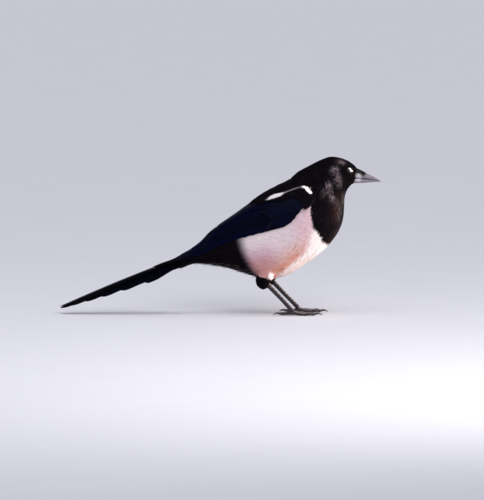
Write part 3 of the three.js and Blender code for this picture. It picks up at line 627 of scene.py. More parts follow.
def coat_roots(first, last, rng):
    """Roots in rings round the body, a little out of line."""
    probe = np.linspace(0, 2 * np.pi, PROBES)
    stations, angles = [], []
    station = first
    while station < last:
        _, _, ring_gap, gap = coat_size(station)
        here, next_ring = (body(np.full(PROBES, at), probe) for at in (station, station + STRIDE))
        stretch = np.linalg.norm(next_ring - here, axis=1) / STRIDE
        arc = np.concatenate([[0], np.cumsum(np.linalg.norm(np.diff(here, axis=0), axis=1))])
        step = ring_gap / stretch.max()
        count = int(arc[-1] / gap)
        spots = (np.arange(count) + rng.random() + scatter(rng, 0.5, count)) / count * arc[-1]
        ring = np.interp(np.mod(spots, arc[-1]), arc, probe)
        ring = ring[rng.random(count) < np.interp(ring, probe, stretch) / stretch.max()]
        stations.append(station + scatter(rng, 0.6 * step, len(ring)))
        angles.append(ring)
        station += step
    return np.concatenate(stations), np.concatenate(angles)


rng = np.random.default_rng(7)
stations, angles = coat_roots(0.06, BODY_END + 0.35, rng)
eye_spots = [body(EYE_STATION, sign * EYE_ANGLE) for sign in (1, -1)]
lengths, widths, _, _ = coat_size(stations)
roots = body(stations, angles)
tips = body(stations + 0.12, angles)
tips = roots + unit(tips - roots) * lengths[:, None]
clear = np.ones(len(stations), bool)
for spot in eye_spots:
    for share in (0, 0.5, 1):
        clear &= np.linalg.norm(mix(roots, tips, share) - spot, axis=1) > EYE_OPENING + EYE_CLEARANCE
clear &= ~under_wing(stations, angles)
stations, angles, lengths, widths = (a[clear] for a in (stations, angles, lengths, widths))

# pieces of the coat: name, first and last station, colour slot
COAT_PIECES = [
    ("feathers_face", -1.0, 1.9, "black_plumage"),
    ("feathers_crown", 1.9, 4.1, "black_plumage"),
    ("feathers_neck", 4.1, 6.6, "black_plumage"),
    ("feathers_breast", 6.6, 9.0, "white_plumage"),
    ("feathers_belly", 9.0, 11.4, "white_plumage"),
    ("feathers_vent", 11.4, 20.0, "white_plumage"),
]
# where painted highlights lie on the black coat, grey-brown ones and maroon ones: station, degrees from the
# top, how far round both, share
GLINTS = [
    (2.2, 37, 0.5, 11, 0.65), (3.2, 64, 0.45, 9, 0.75), (3.1, 87, 0.45, 12, 0.7), (3.0, 105, 0.4, 8, 0.4),
    (4.6, 84, 0.3, 5, 0.9), (4.8, 95, 0.3, 6, 0.45), (5.0, 105, 0.3, 6, 0.4), (4.85, 121, 0.45, 8, 0.3),
    (5.5, 87, 0.3, 6, 0.25), (5.2, 144, 0.8, 12, 0.22),
    (3.4, 152, 0.7, 14, 0.4), (6.8, 168, 1.3, 12, 0.1),
]
MAROON_HIGHLIGHTS = [(5.6, 130, 0.8, 12, 0.45), (7.4, 164, 1.1, 14, 0.35), (3.8, 128, 0.8, 12, 0.25)]
# where the shaded flank meets the lit belly, as degrees from the top at each station, and spots of painted
# shadow in the crease there
LIT_EDGE = [(8.0, 100), (8.5, 110), (8.8, 115), (9.1, 121), (9.4, 130), (9.75, 138), (10.25, 142),
            (10.7, 144), (11.0, 148), (11.3, 154), (11.6, 168), (12.0, 190)]
CREASE_SHADOW = [(11.15, 139, 0.3, 6, 0.8), (10.7, 136, 0.5, 6, 0.35), (10.2, 131, 0.45, 5, 0.3)]
THIGH_COVER, COVER_BLEND = 10.0, 5.0  # radius at which the coat covers the thigh, and how softly it climbs
RUMP_RISE = 1.8  # how much higher the feathers of the rump stand
# heights of roots and tips over the skin's outline, at each station
ROOT_HEIGHT = [(0, -0.55), (1.5, -0.9), (4, -1.3), (8, -1.6), (16, -1.6)]
TIP_HEIGHT = [(0, 0.0), (1.5, 0.05), (4, 0.15), (8, 0.2), (16, 0.1)]


def painted_light_and_shade(spots, station, away, rng):
    """How strong a painted highlight or painted shadow is on each feather: round its spots, in slanting
    streaks.
    """
    share = sum(
        most * np.exp(-(((station - s) / half) ** 2) - ((away - a) / round_it) ** 2)
        for s, a, half, round_it, most in spots
    )
    streaks = 0.8 + 0.45 * np.sin(station * 7.5 + away * 0.22) * np.sin(station * 3.1 - away * 0.35)
    own = rng.random(len(station)).reshape(-1, *[1] * (station.ndim - 1))
    return np.clip(share * streaks * (0.5 + own), 0, 1)


def painted_flank_shade(station, away, rng):
    """Painted shade on the white plumage, as shares of pink and of brown: pink over the shaded flank, brown
    low down for shade and reflected light, a painted shadow in the crease, and a faint painted reflected
    light on the lit belly.
    """
    shaded = smooth(np.interp(station, *zip(*LIT_EDGE)) - away, -7, 8)
    low = smooth(away, 78, 112)
    pink = 0.29 + 0.28 * smooth(station, 10.0, 9.0) + 0.16 * low + 0.5 * low * smooth(station, 10.6, 11.6)
    warm = 0.62 * smooth(away, 99, 128) * smooth(station, 8.8, 9.9) + painted_light_and_shade(CREASE_SHADOW, station, away, rng)
    under = smooth(station, 9.1, 9.8) * smooth(away, 138, 156)
    return np.clip(mix(0.1 * under, pink, shaded), 0.03, 1), np.clip(mix(0.26 * under, warm, shaded), 0.05, 1)


def hung_over(points, side):
    """Pushes feathers of the flank outwards over the thigh, so that the one runs smoothly into the other."""
    sign = LEGS[side][0]
    knee, lobe = joints(side)[:2]
    along = (lobe - knee)[[0, 2]]
    t = np.clip((points[:, [0, 2]] - knee[[0, 2]]) @ along / (along @ along), -0.4, 1)
    middle = knee + t[:, None] * (lobe - knee)
    off = np.hypot(*(points - middle)[:, [0, 2]].T)
    cover = np.sqrt(np.maximum(THIGH_COVER**2 - off**2, 0)) - 3 * np.maximum(off - THIGH_COVER, 0)
    thigh_side = sign * middle[:, 1] + cover
    out = sign * points[:, 1]
    joined = (out + thigh_side + np.hypot(out - thigh_side, COVER_BLEND)) / 2
    points[:, 1] = sign * mix(out, joined, smooth(out, 9, 16) * smooth(points[:, 2], 43, 48))
    return points


for number, (name, first, last, colour) in enumerate(COAT_PIECES):
    held = (stations >= first) & (stations < last)
    s, a, length, width = stations[held], angles[held], lengths[held], widths[held]
    count = len(s)
    away = down(a)
    loose = smooth(away, 95, 130) * smooth(s, 9.5, 13)
    length = length * (0.85 + 0.3 * rng.random(count)) * (1 + 0.25 * loose)
    high = np.interp(s, *zip(*TIP_HEIGHT)) + 0.35 * loose * rng.random(count)
    high = high + RUMP_RISE * smooth(s, 12.5, 14.5) * smooth(away, 70, 30)
    points, faces, numbers, grid = plumes(
        body, s, a, length, width, np.interp(s, *zip(*ROOT_HEIGHT)), high,
        scatter(rng, np.radians(28), count), ragged=0.8, dome=0.08, curl=0.4 * loose, seed=20 + number,
    )
    stray = scatter(rng, 0.03, (count, 1, 1))
    numbers["white"] = white_share(grid[2] + stray, grid[3])
    # painted highlights on the black coat, grey-brown ones and maroon ones
    numbers["lit"] = painted_light_and_shade(GLINTS, s, away, rng)[:, None, None] * smooth(grid[0], 0.2, 0.9)
    numbers["warm"] = painted_light_and_shade(MAROON_HIGHLIGHTS, s, away, rng)[:, None, None] * smooth(grid[0], 0.0, 0.5)
    for side in LEGS:
        points = hung_over(points, side)
    # the painted pink and brown shade of the flank, which takes over from the painted maroon highlights where
    # the coat is white
    numbers["flush"], painted_warm_shade = painted_flank_shade(grid[2], down(grid[3]), rng)
    numbers["warm"] = mix(numbers["warm"], painted_warm_shade, smooth(numbers["white"], 0.3, 0.7))
    coat = plumed(name, points, faces, numbers, grid, s / len(STATIONS), turns(a))
    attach(coat, "root")

# Thigh feathers: the black trousers of both legs, laid down the thigh over the ankle. White feathers of the
# flank in its painted pink and brown shade hang over their upper part, with a tuft of plain white ones in
# front.
TROUSERS, DRAPE, TUFT = 460, 300, 110  # feathers of the thigh, of the flank's overhang, of the tuft
GOLDEN = 2.39996  # radians round from one feather to the next, so that they form no rows
for number, side in enumerate(LEGS):
    rng = np.random.default_rng(40 + number)
    u = np.linspace(0.36, 0.86, TROUSERS) + scatter(rng, 0.01, TROUSERS)
    v = np.mod(np.arange(TROUSERS) * GOLDEN, 2 * np.pi)
    points, faces, numbers, grid = plumes(
        thigh(side), u, v, mix(9.0, 6.0, u) * (0.85 + 0.3 * rng.random(TROUSERS)), 3.4, -1.2,
        0.5 + 0.6 * u**3, scatter(rng, np.radians(24), TROUSERS), ragged=0.8, curl=0.4, seed=50 + number,
    )
    trousers = plumed(f"feathers_thigh_{side}", points, faces, numbers, grid, u, turns(v))
    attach(trousers, "root")

    # the feathers that hang from the flank
    u = np.linspace(0.30, 0.02, DRAPE) + scatter(rng, 0.02, DRAPE)
    v = -LEGS[side][0] * mix(math.radians(-60), math.radians(215), rng.random(DRAPE))
    points, faces, numbers, grid = plumes(
        thigh(side), u, v, 8.0 + 2 * rng.random(DRAPE), 3.0, -0.4, mix(0.4, 1.6, smooth(u, 0.1, 0.28)),
        scatter(rng, np.radians(20), DRAPE), ragged=0.8, dome=0.08, curl=-0.5, seed=53 + number,
    )
    # painted pink and brown shade, as on the flank below them
    numbers |= carried(len(points), white=1, flush=0.8, warm=0.75 - 0.25 * numbers["along"])
    drape = plumed(f"feathers_drape_{side}", points, faces, numbers, grid, u, turns(v + np.pi / 2))
    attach(drape, "root")

    # the white tuft
    u = mix(0.12, 0.35, rng.random(TUFT))
    v = -LEGS[side][0] * (scatter(rng, np.radians(30), TUFT) + mix(1.0, 0.85, u / 0.35))
    points, faces, numbers, grid = plumes(
        thigh(side), u, v, 4.5 + 3.0 * rng.random(TUFT), 1.3, 1.2, 2.0 + 0.9 * rng.random(TUFT),
        scatter(rng, np.radians(24), TUFT), ragged=1.0, curl=0.5, seed=55 + number,
    )
    numbers |= carried(len(points), white=1)
    tuft = plumed(f"feathers_tuft_{side}", points, faces, numbers, grid, u, v / (2 * np.pi) + 0.5)
    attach(tuft, "root")

# Eyes: glossy dark brown balls, like the glass eyes of a mounted bird, set in the sides of the head. Each
# lies in a thin ring of bare, wrinkled black lid, and tiny feathers round it hide the lid's outer edge.
eye_paint = finish(
    "eye",
    {"Coat Roughness": 0.01, "Specular IOR Level": 0.35, "IOR": 1.4},
    lambda w: {
        "Base Color": w.value("ring").step(0.40, 0.46).between(
            (0.0006, 0.0005, 0.0005),
            w.noise(2500.0).between((0.0025, 0.0008, 0.0006), (0.007, 0.002, 0.0012)),
        ),
        "Roughness": w.noise(400.0) * 0.02 + 0.05,
        "Coat Weight": w.value("ring").step(1.0, 0.3) * 0.2 + 0.1,
    },
)
lid_paint = finish(
    "lid_skin",
    {"Specular IOR Level": 0.1},
    lambda w: {
        "Base Color": w.noise(900.0).between((0.002, 0.0015, 0.002), (0.005, 0.004, 0.0045)),
        "Roughness": w.noise(1500.0) * 0.15 + 0.5,
        "Normal": w.bump(w.noise(2600.0), 0.0003, 0.6),
    },
)
EYE_SINK = math.sqrt(EYE_RADIUS**2 - EYE_OPENING**2)
EYE_FLATNESS = 0.8  # the front of the ball stands out less than a full globe
EYE_LONG, EYE_HIGH = 1.04, 0.96  # the opening is a little longer than high
BALL_RINGS, BALL_SIDES = 36, 48
# the lid's section, from its free edge on the eye outwards under the feathers: past the opening, and out
LID_PROFILE = [(-0.5, -0.6), (-0.52, 0.22), (-0.35, 0.42), (0.0, 0.36), (0.5, 0.12), (1.2, -0.3), (1.2, -1.5)]
LID_POINTS, LID_SIDES, LID_WRINKLES = 22, 72, 17
LID_FEATHERS = 150
LID_PATCH = 0.004  # share of the bake map for each millimetre round the eye
for sign, side in ((1, "left"), (-1, "right")):
    spot = body(EYE_STATION, sign * EYE_ANGLE)
    axis = unit(body(EYE_STATION, sign * EYE_ANGLE, 1.0) - spot)
    back = unit(np.cross(axis, (0, 0, 1.0)))
    up = np.cross(back, axis)
    centre = spot - axis * EYE_SINK

    def round_axis(radius, out, turn):
        """A point round the eye's axis, at a radius from it and a distance out from the eye's middle."""
        radius, out, turn = np.broadcast_arrays(radius, out, turn)
        flat = np.cos(turn)[..., None] * back * EYE_LONG + np.sin(turn)[..., None] * up * EYE_HIGH
        return centre + radius[..., None] * flat + out[..., None] * axis

    polar, turn = rounds(np.linspace(0.04, 2.2, BALL_RINGS), BALL_SIDES)
    out = EYE_RADIUS * np.cos(polar)
    out = np.where(out > EYE_SINK, EYE_SINK + (out - EYE_SINK) * EYE_FLATNESS, out)
    ball, faces = closed(round_axis(EYE_RADIUS * np.sin(polar), out, turn))
    ring = np.linalg.norm(np.cross(ball - centre, axis), axis=1) / EYE_RADIUS
    eye = piece(f"eyeball_{side}", ball, faces, eye_paint, {"ring": ring})
    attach(eye, "root")
    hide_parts(f"eye_{side}")
    lit_eyes.objects.link(eye)

    section = spline(LID_PROFILE, np.linspace(0, len(LID_PROFILE) - 1, LID_POINTS))
    turn = np.linspace(0, 2 * np.pi, LID_SIDES, endpoint=False)[:, None]
    wrinkled = 1 + 0.06 * np.sin(turn * LID_WRINKLES) * smooth(section[:, 0], 0.1, 0.8)
    lid = round_axis(EYE_OPENING + section[:, 0] * wrinkled, EYE_SINK + section[:, 1], turn)
    faces = sheet(LID_SIDES + 1, LID_POINTS, ring=True) % (LID_SIDES * LID_POINTS)
    lids = piece(f"lid_{side}", lid.reshape(-1, 3), faces, lid_paint)
    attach(lids, "root")

    rng = np.random.default_rng(60 + (sign > 0))
    turn = np.arange(LID_FEATHERS) * GOLDEN
    distance = EYE_OPENING + 0.75 + 1.5 * np.sqrt(np.arange(LID_FEATHERS) / LID_FEATHERS)

    def brow(u, v, height=0.0):
        """The face round the eye: u millimetres from its middle, v round it."""
        face = round_axis(u, EYE_SINK - 0.035 * (u - EYE_OPENING) ** 2, v)
        return face + np.asarray(height)[..., None] * axis

    points, faces, numbers, grid = plumes(
        brow, distance, turn, 1.5 + 0.5 * rng.random(LID_FEATHERS), 0.75, -0.3, 0.35, 0.9 * np.sin(turn),
        ragged=0.5, seed=62 + (sign > 0),
    )
    u, v = 0.07 + distance * LID_PATCH * np.cos(turn), 0.19 + distance * LID_PATCH * np.sin(turn)
    fringe = plumed(f"feathers_lid_{side}", points, faces, numbers, grid, u, v)
    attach(fringe, "root")

# Bill: two halves of black horn that meet along the line of the mouth, the upper one hooked a little over the
# lower. Rows: x, upper edge z, lower edge z, half-width.
UPPER_BILL = np.array([
    (164.5, 181.4, 170.5, 6.0), (172.0, 179.4, 169.9, 5.6), (180.0, 176.9, 169.1, 4.8),
    (187.5, 174.0, 168.2, 3.6), (194.0, 170.6, 167.2, 2.3), (198.4, 167.9, 166.3, 1.2),
    (200.6, 165.9, 165.2, 0.4),
])
LOWER_BILL = np.array([
    (164.5, 170.2, 163.8, 5.6), (172.0, 169.6, 163.8, 5.1), (180.0, 168.8, 164.2, 4.3),
    (187.5, 167.9, 164.9, 3.0), (194.0, 166.9, 165.4, 1.8), (198.0, 166.1, 165.5, 0.6),
])
BILL_LENGTH, BILL_RADIUS = 36, 5.2  # millimetres along it, and round it at the nostril
BILL_RINGS, BILL_SIDES = 64, 56
BILL_EASE = -0.6, 1.6  # softens the bends of its outline from row to row
# the corner of the mouth is pale skin, and a highlight is painted on it and on the bristles over it
GAPE = (172.0, 171.2, 4.2, 4.8)  # x, z, half-length and half-height of the bare corner of the mouth
NOSTRIL = (0.3, math.radians(68), 2.2, 0.9)  # place along and round the bill, half-length and half-height


def gape(points):
    """1 on the pale skin at the corner of the mouth and the bristles over it, both with a painted highlight,
    0 away from it.
    """
    x, z, long, high = GAPE
    return smooth(((points[:, 0] - x) / long) ** 2 + ((points[:, 2] - z) / high) ** 2, 1.8, 0.2)


def bill(rows, ridge):
    """One half of the bill as a surface: u along it from 0 to 1, v round it from the top. ridge: 1 or -1."""
    def surface(u, v, height=0.0):
        u, v, height = np.broadcast_arrays(u, v, height)
        t = np.clip(u, 0, 1) * (len(rows) - 1)
        low = np.minimum(np.floor(t).astype(int), len(rows) - 2)
        start, end = smooth((0, 1), *BILL_EASE)
        eased = (smooth(t - low, *BILL_EASE) - start) / (end - start)
        x, top, bottom, half = np.moveaxis(mix(rows[low], rows[low + 1], eased[..., None]), -1, 0)
        x = x + (u - np.clip(u, 0, 1)) * BILL_LENGTH
        rise = np.cos(v)
        wide = (half + height) * (1 - 0.35 * np.maximum(0, ridge * rise))
        return np.stack([x, wide * np.sin(v), (top + bottom) / 2 + ((top - bottom) / 2 + height) * rise], -1)

    return surface


def either_way(v):
    """How far round from the top a place is, on either side."""
    return np.abs(np.mod(v + np.pi, 2 * np.pi) - np.pi)


# The black horn is painted a mid grey, a painted sheen of light over it, and paler at the gape.
horn_paint = finish(
    "bill_horn",
    {"Specular IOR Level": 0.5, "Coat Roughness": 0.25},
    lambda w: {
        "Base Color": (w.value("pale") * w.noise(300.0).step(0.1, 0.45)).between(
            (w.noise(260.0, (1.0, 4.0, 6.0)) * w.noise(60.0)).step(0.1, 0.5).between(
                (0.190, 0.172, 0.196), (0.310, 0.285, 0.320)
            ),
            (0.72, 0.70, 0.72),
        ),
        "Roughness": w.noise(320.0, (0.6, 4.0, 6.0)) * 0.25 + 0.32,
        "Coat Weight": w.noise(150.0) * 0.2,
        "Normal": w.bump(w.noise(420.0, (0.5, 4.0, 6.0)), 0.0004, 0.5),
    },
)
MEETING = 0.45  # how far the lower half reaches up into the upper one, so that no light passes between them
upper_bill, lower_bill = bill(UPPER_BILL, 1), bill(LOWER_BILL + (0, MEETING, 0, 0), -1)
for name, surface, dents in (("upper_bill", upper_bill, True), ("lower_bill", lower_bill, False)):
    u, v = rounds(1 - (1 - np.linspace(0, 1, BILL_RINGS)) ** 1.15, BILL_SIDES)
    round_it = either_way(v)
    at, angle, length, height = NOSTRIL
    along, aside = (u - at) * BILL_LENGTH / length, (round_it - angle) * BILL_RADIUS / height
    pit = np.exp(-(along**2 + aside**2) * 0.9)
    edge = np.exp(-(((round_it - math.pi * 0.62) / 0.16) ** 2)) * (u < 0.9)
    relief = (-1.0 * pit if dents else 0) - 0.12 * edge
    half, faces = closed(surface(u, v, relief), back=(0.25, 0, -0.1))
    horn = piece(f"{name}_horn", half, faces, horn_paint, {"pale": gape(half)})
    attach(horn, "root")
    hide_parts(name)

# Bristles: stiff, hair-like feathers, rooted in the skin of the forehead. They grow forward over the
# nostrils and the bill's base and lie close on it.
bristle_paint = finish(
    "bristles",
    {"Specular IOR Level": 0.2},
    lambda w: {
        "Base Color": (w.value("pale") * w.noise(500.0).step(0.1, 0.45)).between(
            w.value("tone").between((0.002, 0.0015, 0.002), (0.007, 0.006, 0.0065)), (0.66, 0.63, 0.65)
        ),
        "Roughness": w.noise(700.0) * 0.2 + 0.5,
        "Normal": w.bump(barbs(w, 0.5), 0.0001, 0.4),
    },
)
BRISTLES = 420
BRISTLE_BULGE = 3.0  # how far they stand over the bill's base


def bulging_bill(u, v, height=0.0):
    low = np.cos(v) * 0.5 + 0.5
    return upper_bill(u, v, height + BRISTLE_BULGE * smooth(u, 0.46, 0.02) * mix(0.45, 1, low))


rng = np.random.default_rng(71)
side = np.where(np.arange(BRISTLES) % 2, 1, -1)
v = side * np.radians(mix(1, 104, rng.random(BRISTLES)))
u = mix(-0.16, 0.12, rng.random(BRISTLES))
reach = mix(0.50, 0.30, smooth(np.abs(v), 0.2, 1.8)) * (0.8 + 0.3 * rng.random(BRISTLES))
length = np.clip(BILL_LENGTH * (reach - u), 3, 14)
points, faces, numbers, grid = plumes(
    bulging_bill, u, v, length, mix(0.9, 1.5, rng.random(BRISTLES)), -0.9,
    mix(-0.1, 0.35, rng.random(BRISTLES)),
    side * np.radians(mix(-5, 9, rng.random(BRISTLES))), ragged=1.2, dome=0.15, seed=72,
)
# by the gape the bristles are painted pale, a painted highlight
numbers["pale"] = gape(points) * (np.abs(points[:, 1]) > 3)
bristles = plumed("bristles", points, faces, numbers, grid, 0.5 + 0.3 * u, turns(v), bristle_paint)
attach(bristles, "root")

# Folded wings: glossy blue-black flight feathers that slide over one another like a fan, under shorter rows
# of coverts, all on a shallow base along the flank. The free lower edge of each vane shows below the next.
WING_RISE, WING_CROWN, WING_DEPTH, WING_BASE_END = 1.0, 2.6, 3.2, 0.82


def patch_of_body(lower, upper):
    """The part of the body's surface between two lines: u along them, v from the lower one, both 0 to 1."""
    def surface(u, v, height=0.0):
        u, v, height = np.broadcast_arrays(u, v, height)
        t, v = np.clip(u, 0, 1), v[..., None]
        spots = mix(spline(lower, t * (len(lower) - 1)), spline(upper, t * (len(upper) - 1)), v)
        past = (u - t)[..., None]
        steps = len(lower) - 1
        ahead = mix(np.subtract(lower[1], lower[0]), np.subtract(upper[1], upper[0]), v) * steps
        behind = mix(np.subtract(lower[-1], lower[-2]), np.subtract(upper[-1], upper[-2]), v) * steps
        spots = spots + np.where(past < 0, ahead, behind) * past
        return body(spots[..., 0], np.radians(spots[..., 1]), height)

    return surface


wing_patch = patch_of_body(WING_LOWER, WING_UPPER)
REAR_STAND = 3.4  # how far the stiff flight feathers stand off the rump


def wing(u, v, height=0.0):
    return wing_patch(u, v, height + REAR_STAND * smooth(u, 0.42, 0.75) * smooth(v, 0.35, 0.9))


def wing_rise(u, v):
    edge = smooth(np.minimum(np.minimum(v * 12, (1 - v) * 6), u * 9 + 0.1), -0.2, 1)
    return mix(WING_RISE, WING_CROWN, smooth(v, 0.4, 0.85)) * edge


# Tiers from the deepest to the outermost. Each has a count, then for its lowest and its highest feather the
# root along and across the wing, the tip along and across, width, lift over the body, and how much its upper
# edge is tucked under: those two in millimetres.
WING_TIERS = {
    "primaries": (10, (0.3, 0.06), (0.3, 0.34), None, None, (7.5, 9.5), (2.2, 2.5), 1.1),
    "secondaries": (9, (0.32, 0.32), (0.4, 0.7), (0.82, 0.42), (0.74, 0.84), (10, 11), (2.8, 3.2), 1.4),
    "tertials": (4, (0.4, 0.74), (0.4, 0.86), (0.7, 0.83), (0.58, 0.88), (12, 10), (3.8, 4.0), 1.0),
    "primary_coverts": (9, (0.2, 0.07), (0.2, 0.23), (0.46, 0.06), (0.42, 0.24), (5.5, 6.5), (2.7, 3.1), 1.2),
    "greater_coverts": (10, (0.2, 0.28), (0.3, 0.82), (0.42, 0.3), (0.5, 0.86), (9.5, 10), (3.4, 3.8), 1.4),
    "alula": (3, (0.05, 0.16), (0.05, 0.26), (0.27, 0.07), (0.23, 0.16), (5.5, 6), (3.2, 3.5), 1.2),
    "median_coverts": (9, (0.1, 0.24), (0.14, 0.86), (0.26, 0.24), (0.33, 0.86), (9, 9), (3.8, 4.0), 1.2),
    "lesser_coverts": (10, (0.05, 0.12), (0.06, 0.84), (0.19, 0.14), (0.24, 0.84), (8, 8), (3.8, 4.1), 1.0),
    "marginals": (11, (0.01, 0.06), (0.01, 0.84), (0.12, 0.07), (0.15, 0.84), (7.5, 7.5), (3.4, 3.9), 0.9),
    "wrist": (10, (-0.01, 0.08), (-0.01, 0.8), (0.06, 0.07), (0.08, 0.84), (6.5, 6.5), (2.8, 3.4), 0.9),
}
VANE_ROWS = np.concatenate([np.linspace(0, 0.7, 10), [0.77, 0.84, 0.9, 0.95, 0.98, 1.0]])
VANE_COLUMNS = np.array([-0.4, -0.3, -0.16, -0.035, 0.0, 0.035, 0.2, 0.4, 0.6])  # 0 is the shaft
SHAFT = 4  # its column
VANE_OUTLINE = 0.7, 0.3, 0.95  # width of its base, how much of it is rounded off, and how pointed
LONGEST_PRIMARY = 0.45  # its place between the lowest and the highest primary
PRIMARY_STEPS = 0.86, 0.37  # how fast they shorten below and above it
# how uneven the vanes are: the places of their tips, the width of their edges, their lift, and the fraying
# of tips
TIP_STRAY, EDGE_NICKS, LIFT_STRAY, TIP_FRAY = 0.014, 0.05, 0.2, 0.004
VANE_CREASE = 40  # angle from which an edge of a large feather is shaded as sharp
BAKE_ROW, BAKE_GAP, BAKE_CELL = 10, 0.004, 0.092  # vanes to a row of the bake map, gap and size there
WING_RINGS, WING_SIDES = 60, 26


def wing_feathers(sign):
    """All vanes of one wing, tier by tier: their points and numbers, and the bake map."""
    rng = np.random.default_rng(80 + (sign > 0))
    tiers, cells = [], []
    for tier, (count, low_root, high_root, low_tip, high_tip, width, lift, drop) in WING_TIERS.items():
        part = np.linspace(0, 1, count)[:, None, None]
        root = [mix(a, b, part) for a, b in zip(low_root, high_root)]
        if tier == "primaries":
            past = part - LONGEST_PRIMARY
            tip = [1 - np.where(past < 0, *PRIMARY_STEPS) * past**2, mix(0.1, 0.84, part)]
        else:
            tip = [mix(a, b, part) + scatter(rng, TIP_STRAY, part.shape) for a, b in zip(low_tip, high_tip)]
        t = np.broadcast_to(VANE_ROWS[:, None], (count, len(VANE_ROWS), len(VANE_COLUMNS)))
        c = np.broadcast_to(VANE_COLUMNS, t.shape)
        web = outline(t, *VANE_OUTLINE)
        u, v = mix(root[0], tip[0], t), mix(root[1], tip[1], t)
        reach_of_v = np.linalg.norm(wing(u, v + 0.01) - wing(u, v - 0.01), axis=-1) / 0.02
        nicks = 1 + scatter(rng, EDGE_NICKS, t.shape) * (np.abs(c) > 0.35)
        aside = mix(*width, part) * web * c * nicks
        up = mix(*lift, part)
        free = mix(up, up - drop, (c + 0.4)) * smooth(t, -0.3, 0.3)
        free += 0.22 * np.exp(-((c / 0.05) ** 2)) * (1 - 0.6 * t) - 0.5 * np.clip(-c - 0.2, 0, 1) * web
        free += scatter(rng, LIFT_STRAY, (count, 1, 1))
        tip_reach = np.where(t > 0.97, scatter(rng, TIP_FRAY, t.shape), 0)
        spots = wing(u + tip_reach, v + aside / reach_of_v, free)
        length = np.linalg.norm(np.diff(spots[:, :, SHAFT], axis=1), axis=-1).sum(1)[:, None, None]
        numbers = carried(
            t.shape, along=t, reach=t * length, across=aside, tone=rng.random((count, 1, 1)),
            gloss=smooth(up, 2.0, 4.4),
        )
        tiers.append((spots * (1, sign, 1), numbers))
        cells.append(np.stack([c + 0.4, t], -1).reshape(count, -1, 2))
    cells = np.concatenate(cells)
    number = np.arange(len(cells))
    corner = np.stack([number % BAKE_ROW, number // BAKE_ROW], -1)[:, None] / BAKE_ROW
    return tiers, (corner + BAKE_GAP + cells * BAKE_CELL).reshape(-1, 2)


def vaned(name, parts, bake, rows, columns, paint):
    """One piece of large feathers, each a grid of rows and columns, from its parts' points and numbers."""
    points = np.concatenate([spots.reshape(-1, 3) for spots, _ in parts])
    numbers = {label: np.concatenate([own[label] for _, own in parts]) for label in parts[0][1]}
    size = len(rows) * len(columns)
    faces = copies(lens_faces(len(rows), len(columns)), len(points) // size, size)
    return piece(name, points, faces, paint, numbers, {"OFBake": bake}, VANE_CREASE)


def flight_colours(w, deep, shine):
    """Near-black vanes with a blue to violet gloss, a darker shaft and faintly worn edges."""
    drift = w.noise(24.0)
    gloss = (w.value("tone") * 0.5 + drift * 0.7).step(0.2, 0.9)
    vane = gloss.between(deep, shine)
    shaft = w.math("ABSOLUTE", w.value("across")).step(0.5, 0.2)
    vane = (shaft * 0.8).between(vane, (0.006, 0.006, 0.008))
    worn = w.value("along").step(0.93, 1.0) * w.noise(700.0)
    return (worn * 0.35).between(vane, (0.03, 0.027, 0.03))


wing_paint = finish(
    "wing_gloss",
    {"Specular IOR Level": 0.03, "Coat Roughness": 0.3, "Anisotropic": 0.3},
    lambda w: {
        "Base Color": flight_colours(w, (0.0006, 0.0006, 0.004), (0.001, 0.002, 0.017)),
        "Metallic": w.noise(40.0) * 0.1 + 0.05,
        "Roughness": w.noise(500.0) * 0.12 + 0.36,
        "Coat Weight": w.value("gloss") * 0.04,
        "Normal": w.bump(barbs(w, 0.8), 0.0002, 0.25),
    },
)
for sign, side in ((1, "left"), (-1, "right")):
    u, v = lattice(np.linspace(0, WING_BASE_END, WING_RINGS), np.linspace(0, 1, WING_SIDES))
    end = smooth((WING_BASE_END - u) * 14, 0, 1)
    edge = smooth(np.minimum(np.minimum(v, 1 - v), u * 2) * 5, -0.3, 1)
    outer = wing(u, v, wing_rise(u, v) * mix(0.5, 1, end) - 0.1)
    inner = wing(u, v, -WING_DEPTH * edge * mix(0.3, 1, end))
    base, faces = closed(np.concatenate([outer, inner[:, ::-1]], axis=1))
    shell = piece(f"wing_base_{side}", base * (1, sign, 1), faces, skin_paint)
    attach(shell, "root")
    vanes = vaned(f"wing_vanes_{side}", *wing_feathers(sign), VANE_ROWS, VANE_COLUMNS, wing_paint)
    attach(vanes, "root")
    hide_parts(f"wing_{side}")

# Shoulders: loose, downy feathers over the root and the front edge of the wing. They are black, with a white
# band in front, a white patch behind and a thin grey line between the two.
SHOULDER_LOWER = [(7.3, 50), (7.8, 45), (8.6, 41), (9.4, 36), (10.2, 26), (11.1, 12)]
SHOULDER_UPPER = [(7.35, 30), (7.9, 17), (8.6, 10), (9.5, 6.5), (10.4, 5), (11.1, 4.5)]
shoulder = patch_of_body(SHOULDER_LOWER, SHOULDER_UPPER)
SIDE_RISE = math.tan(CAMERA_RISE)
# the markings as seen from the side, the front band, the rear patch and the grey line: share of white, then
# along each x, z less a twelfth of the distance from the bird's middle, and half-width
MARKINGS = [
    (0.9, [(101.9, 159.2, 1.0), (106.9, 157.3, 2.1), (110.8, 153.6, 2.0), (112.8, 150.6, 1.2)]),
    (0.85, [(79.0, 151.2, 0.6), (74.6, 149.4, 2.0), (66.9, 147.2, 2.5), (61.6, 145.0, 1.8),
            (57.6, 142.6, 0.6)]),
    (0.4, [(101.9, 159.4, 0.7), (91.9, 156.4, 0.7), (83.1, 153.0, 0.8), (78.0, 151.0, 1.0)]),
]
# height of the feathers' tips over the body, from over the wing to the edge of the back
SHOULDER_RISE = [(-0.4, 4.9), (0.45, 4.5), (0.7, 2.9), (1.0, 1.2), (1.2, 0.3)]
BEND_RISE = 4.5  # how far the feathers at the bend of the wing climb from the neck onto it
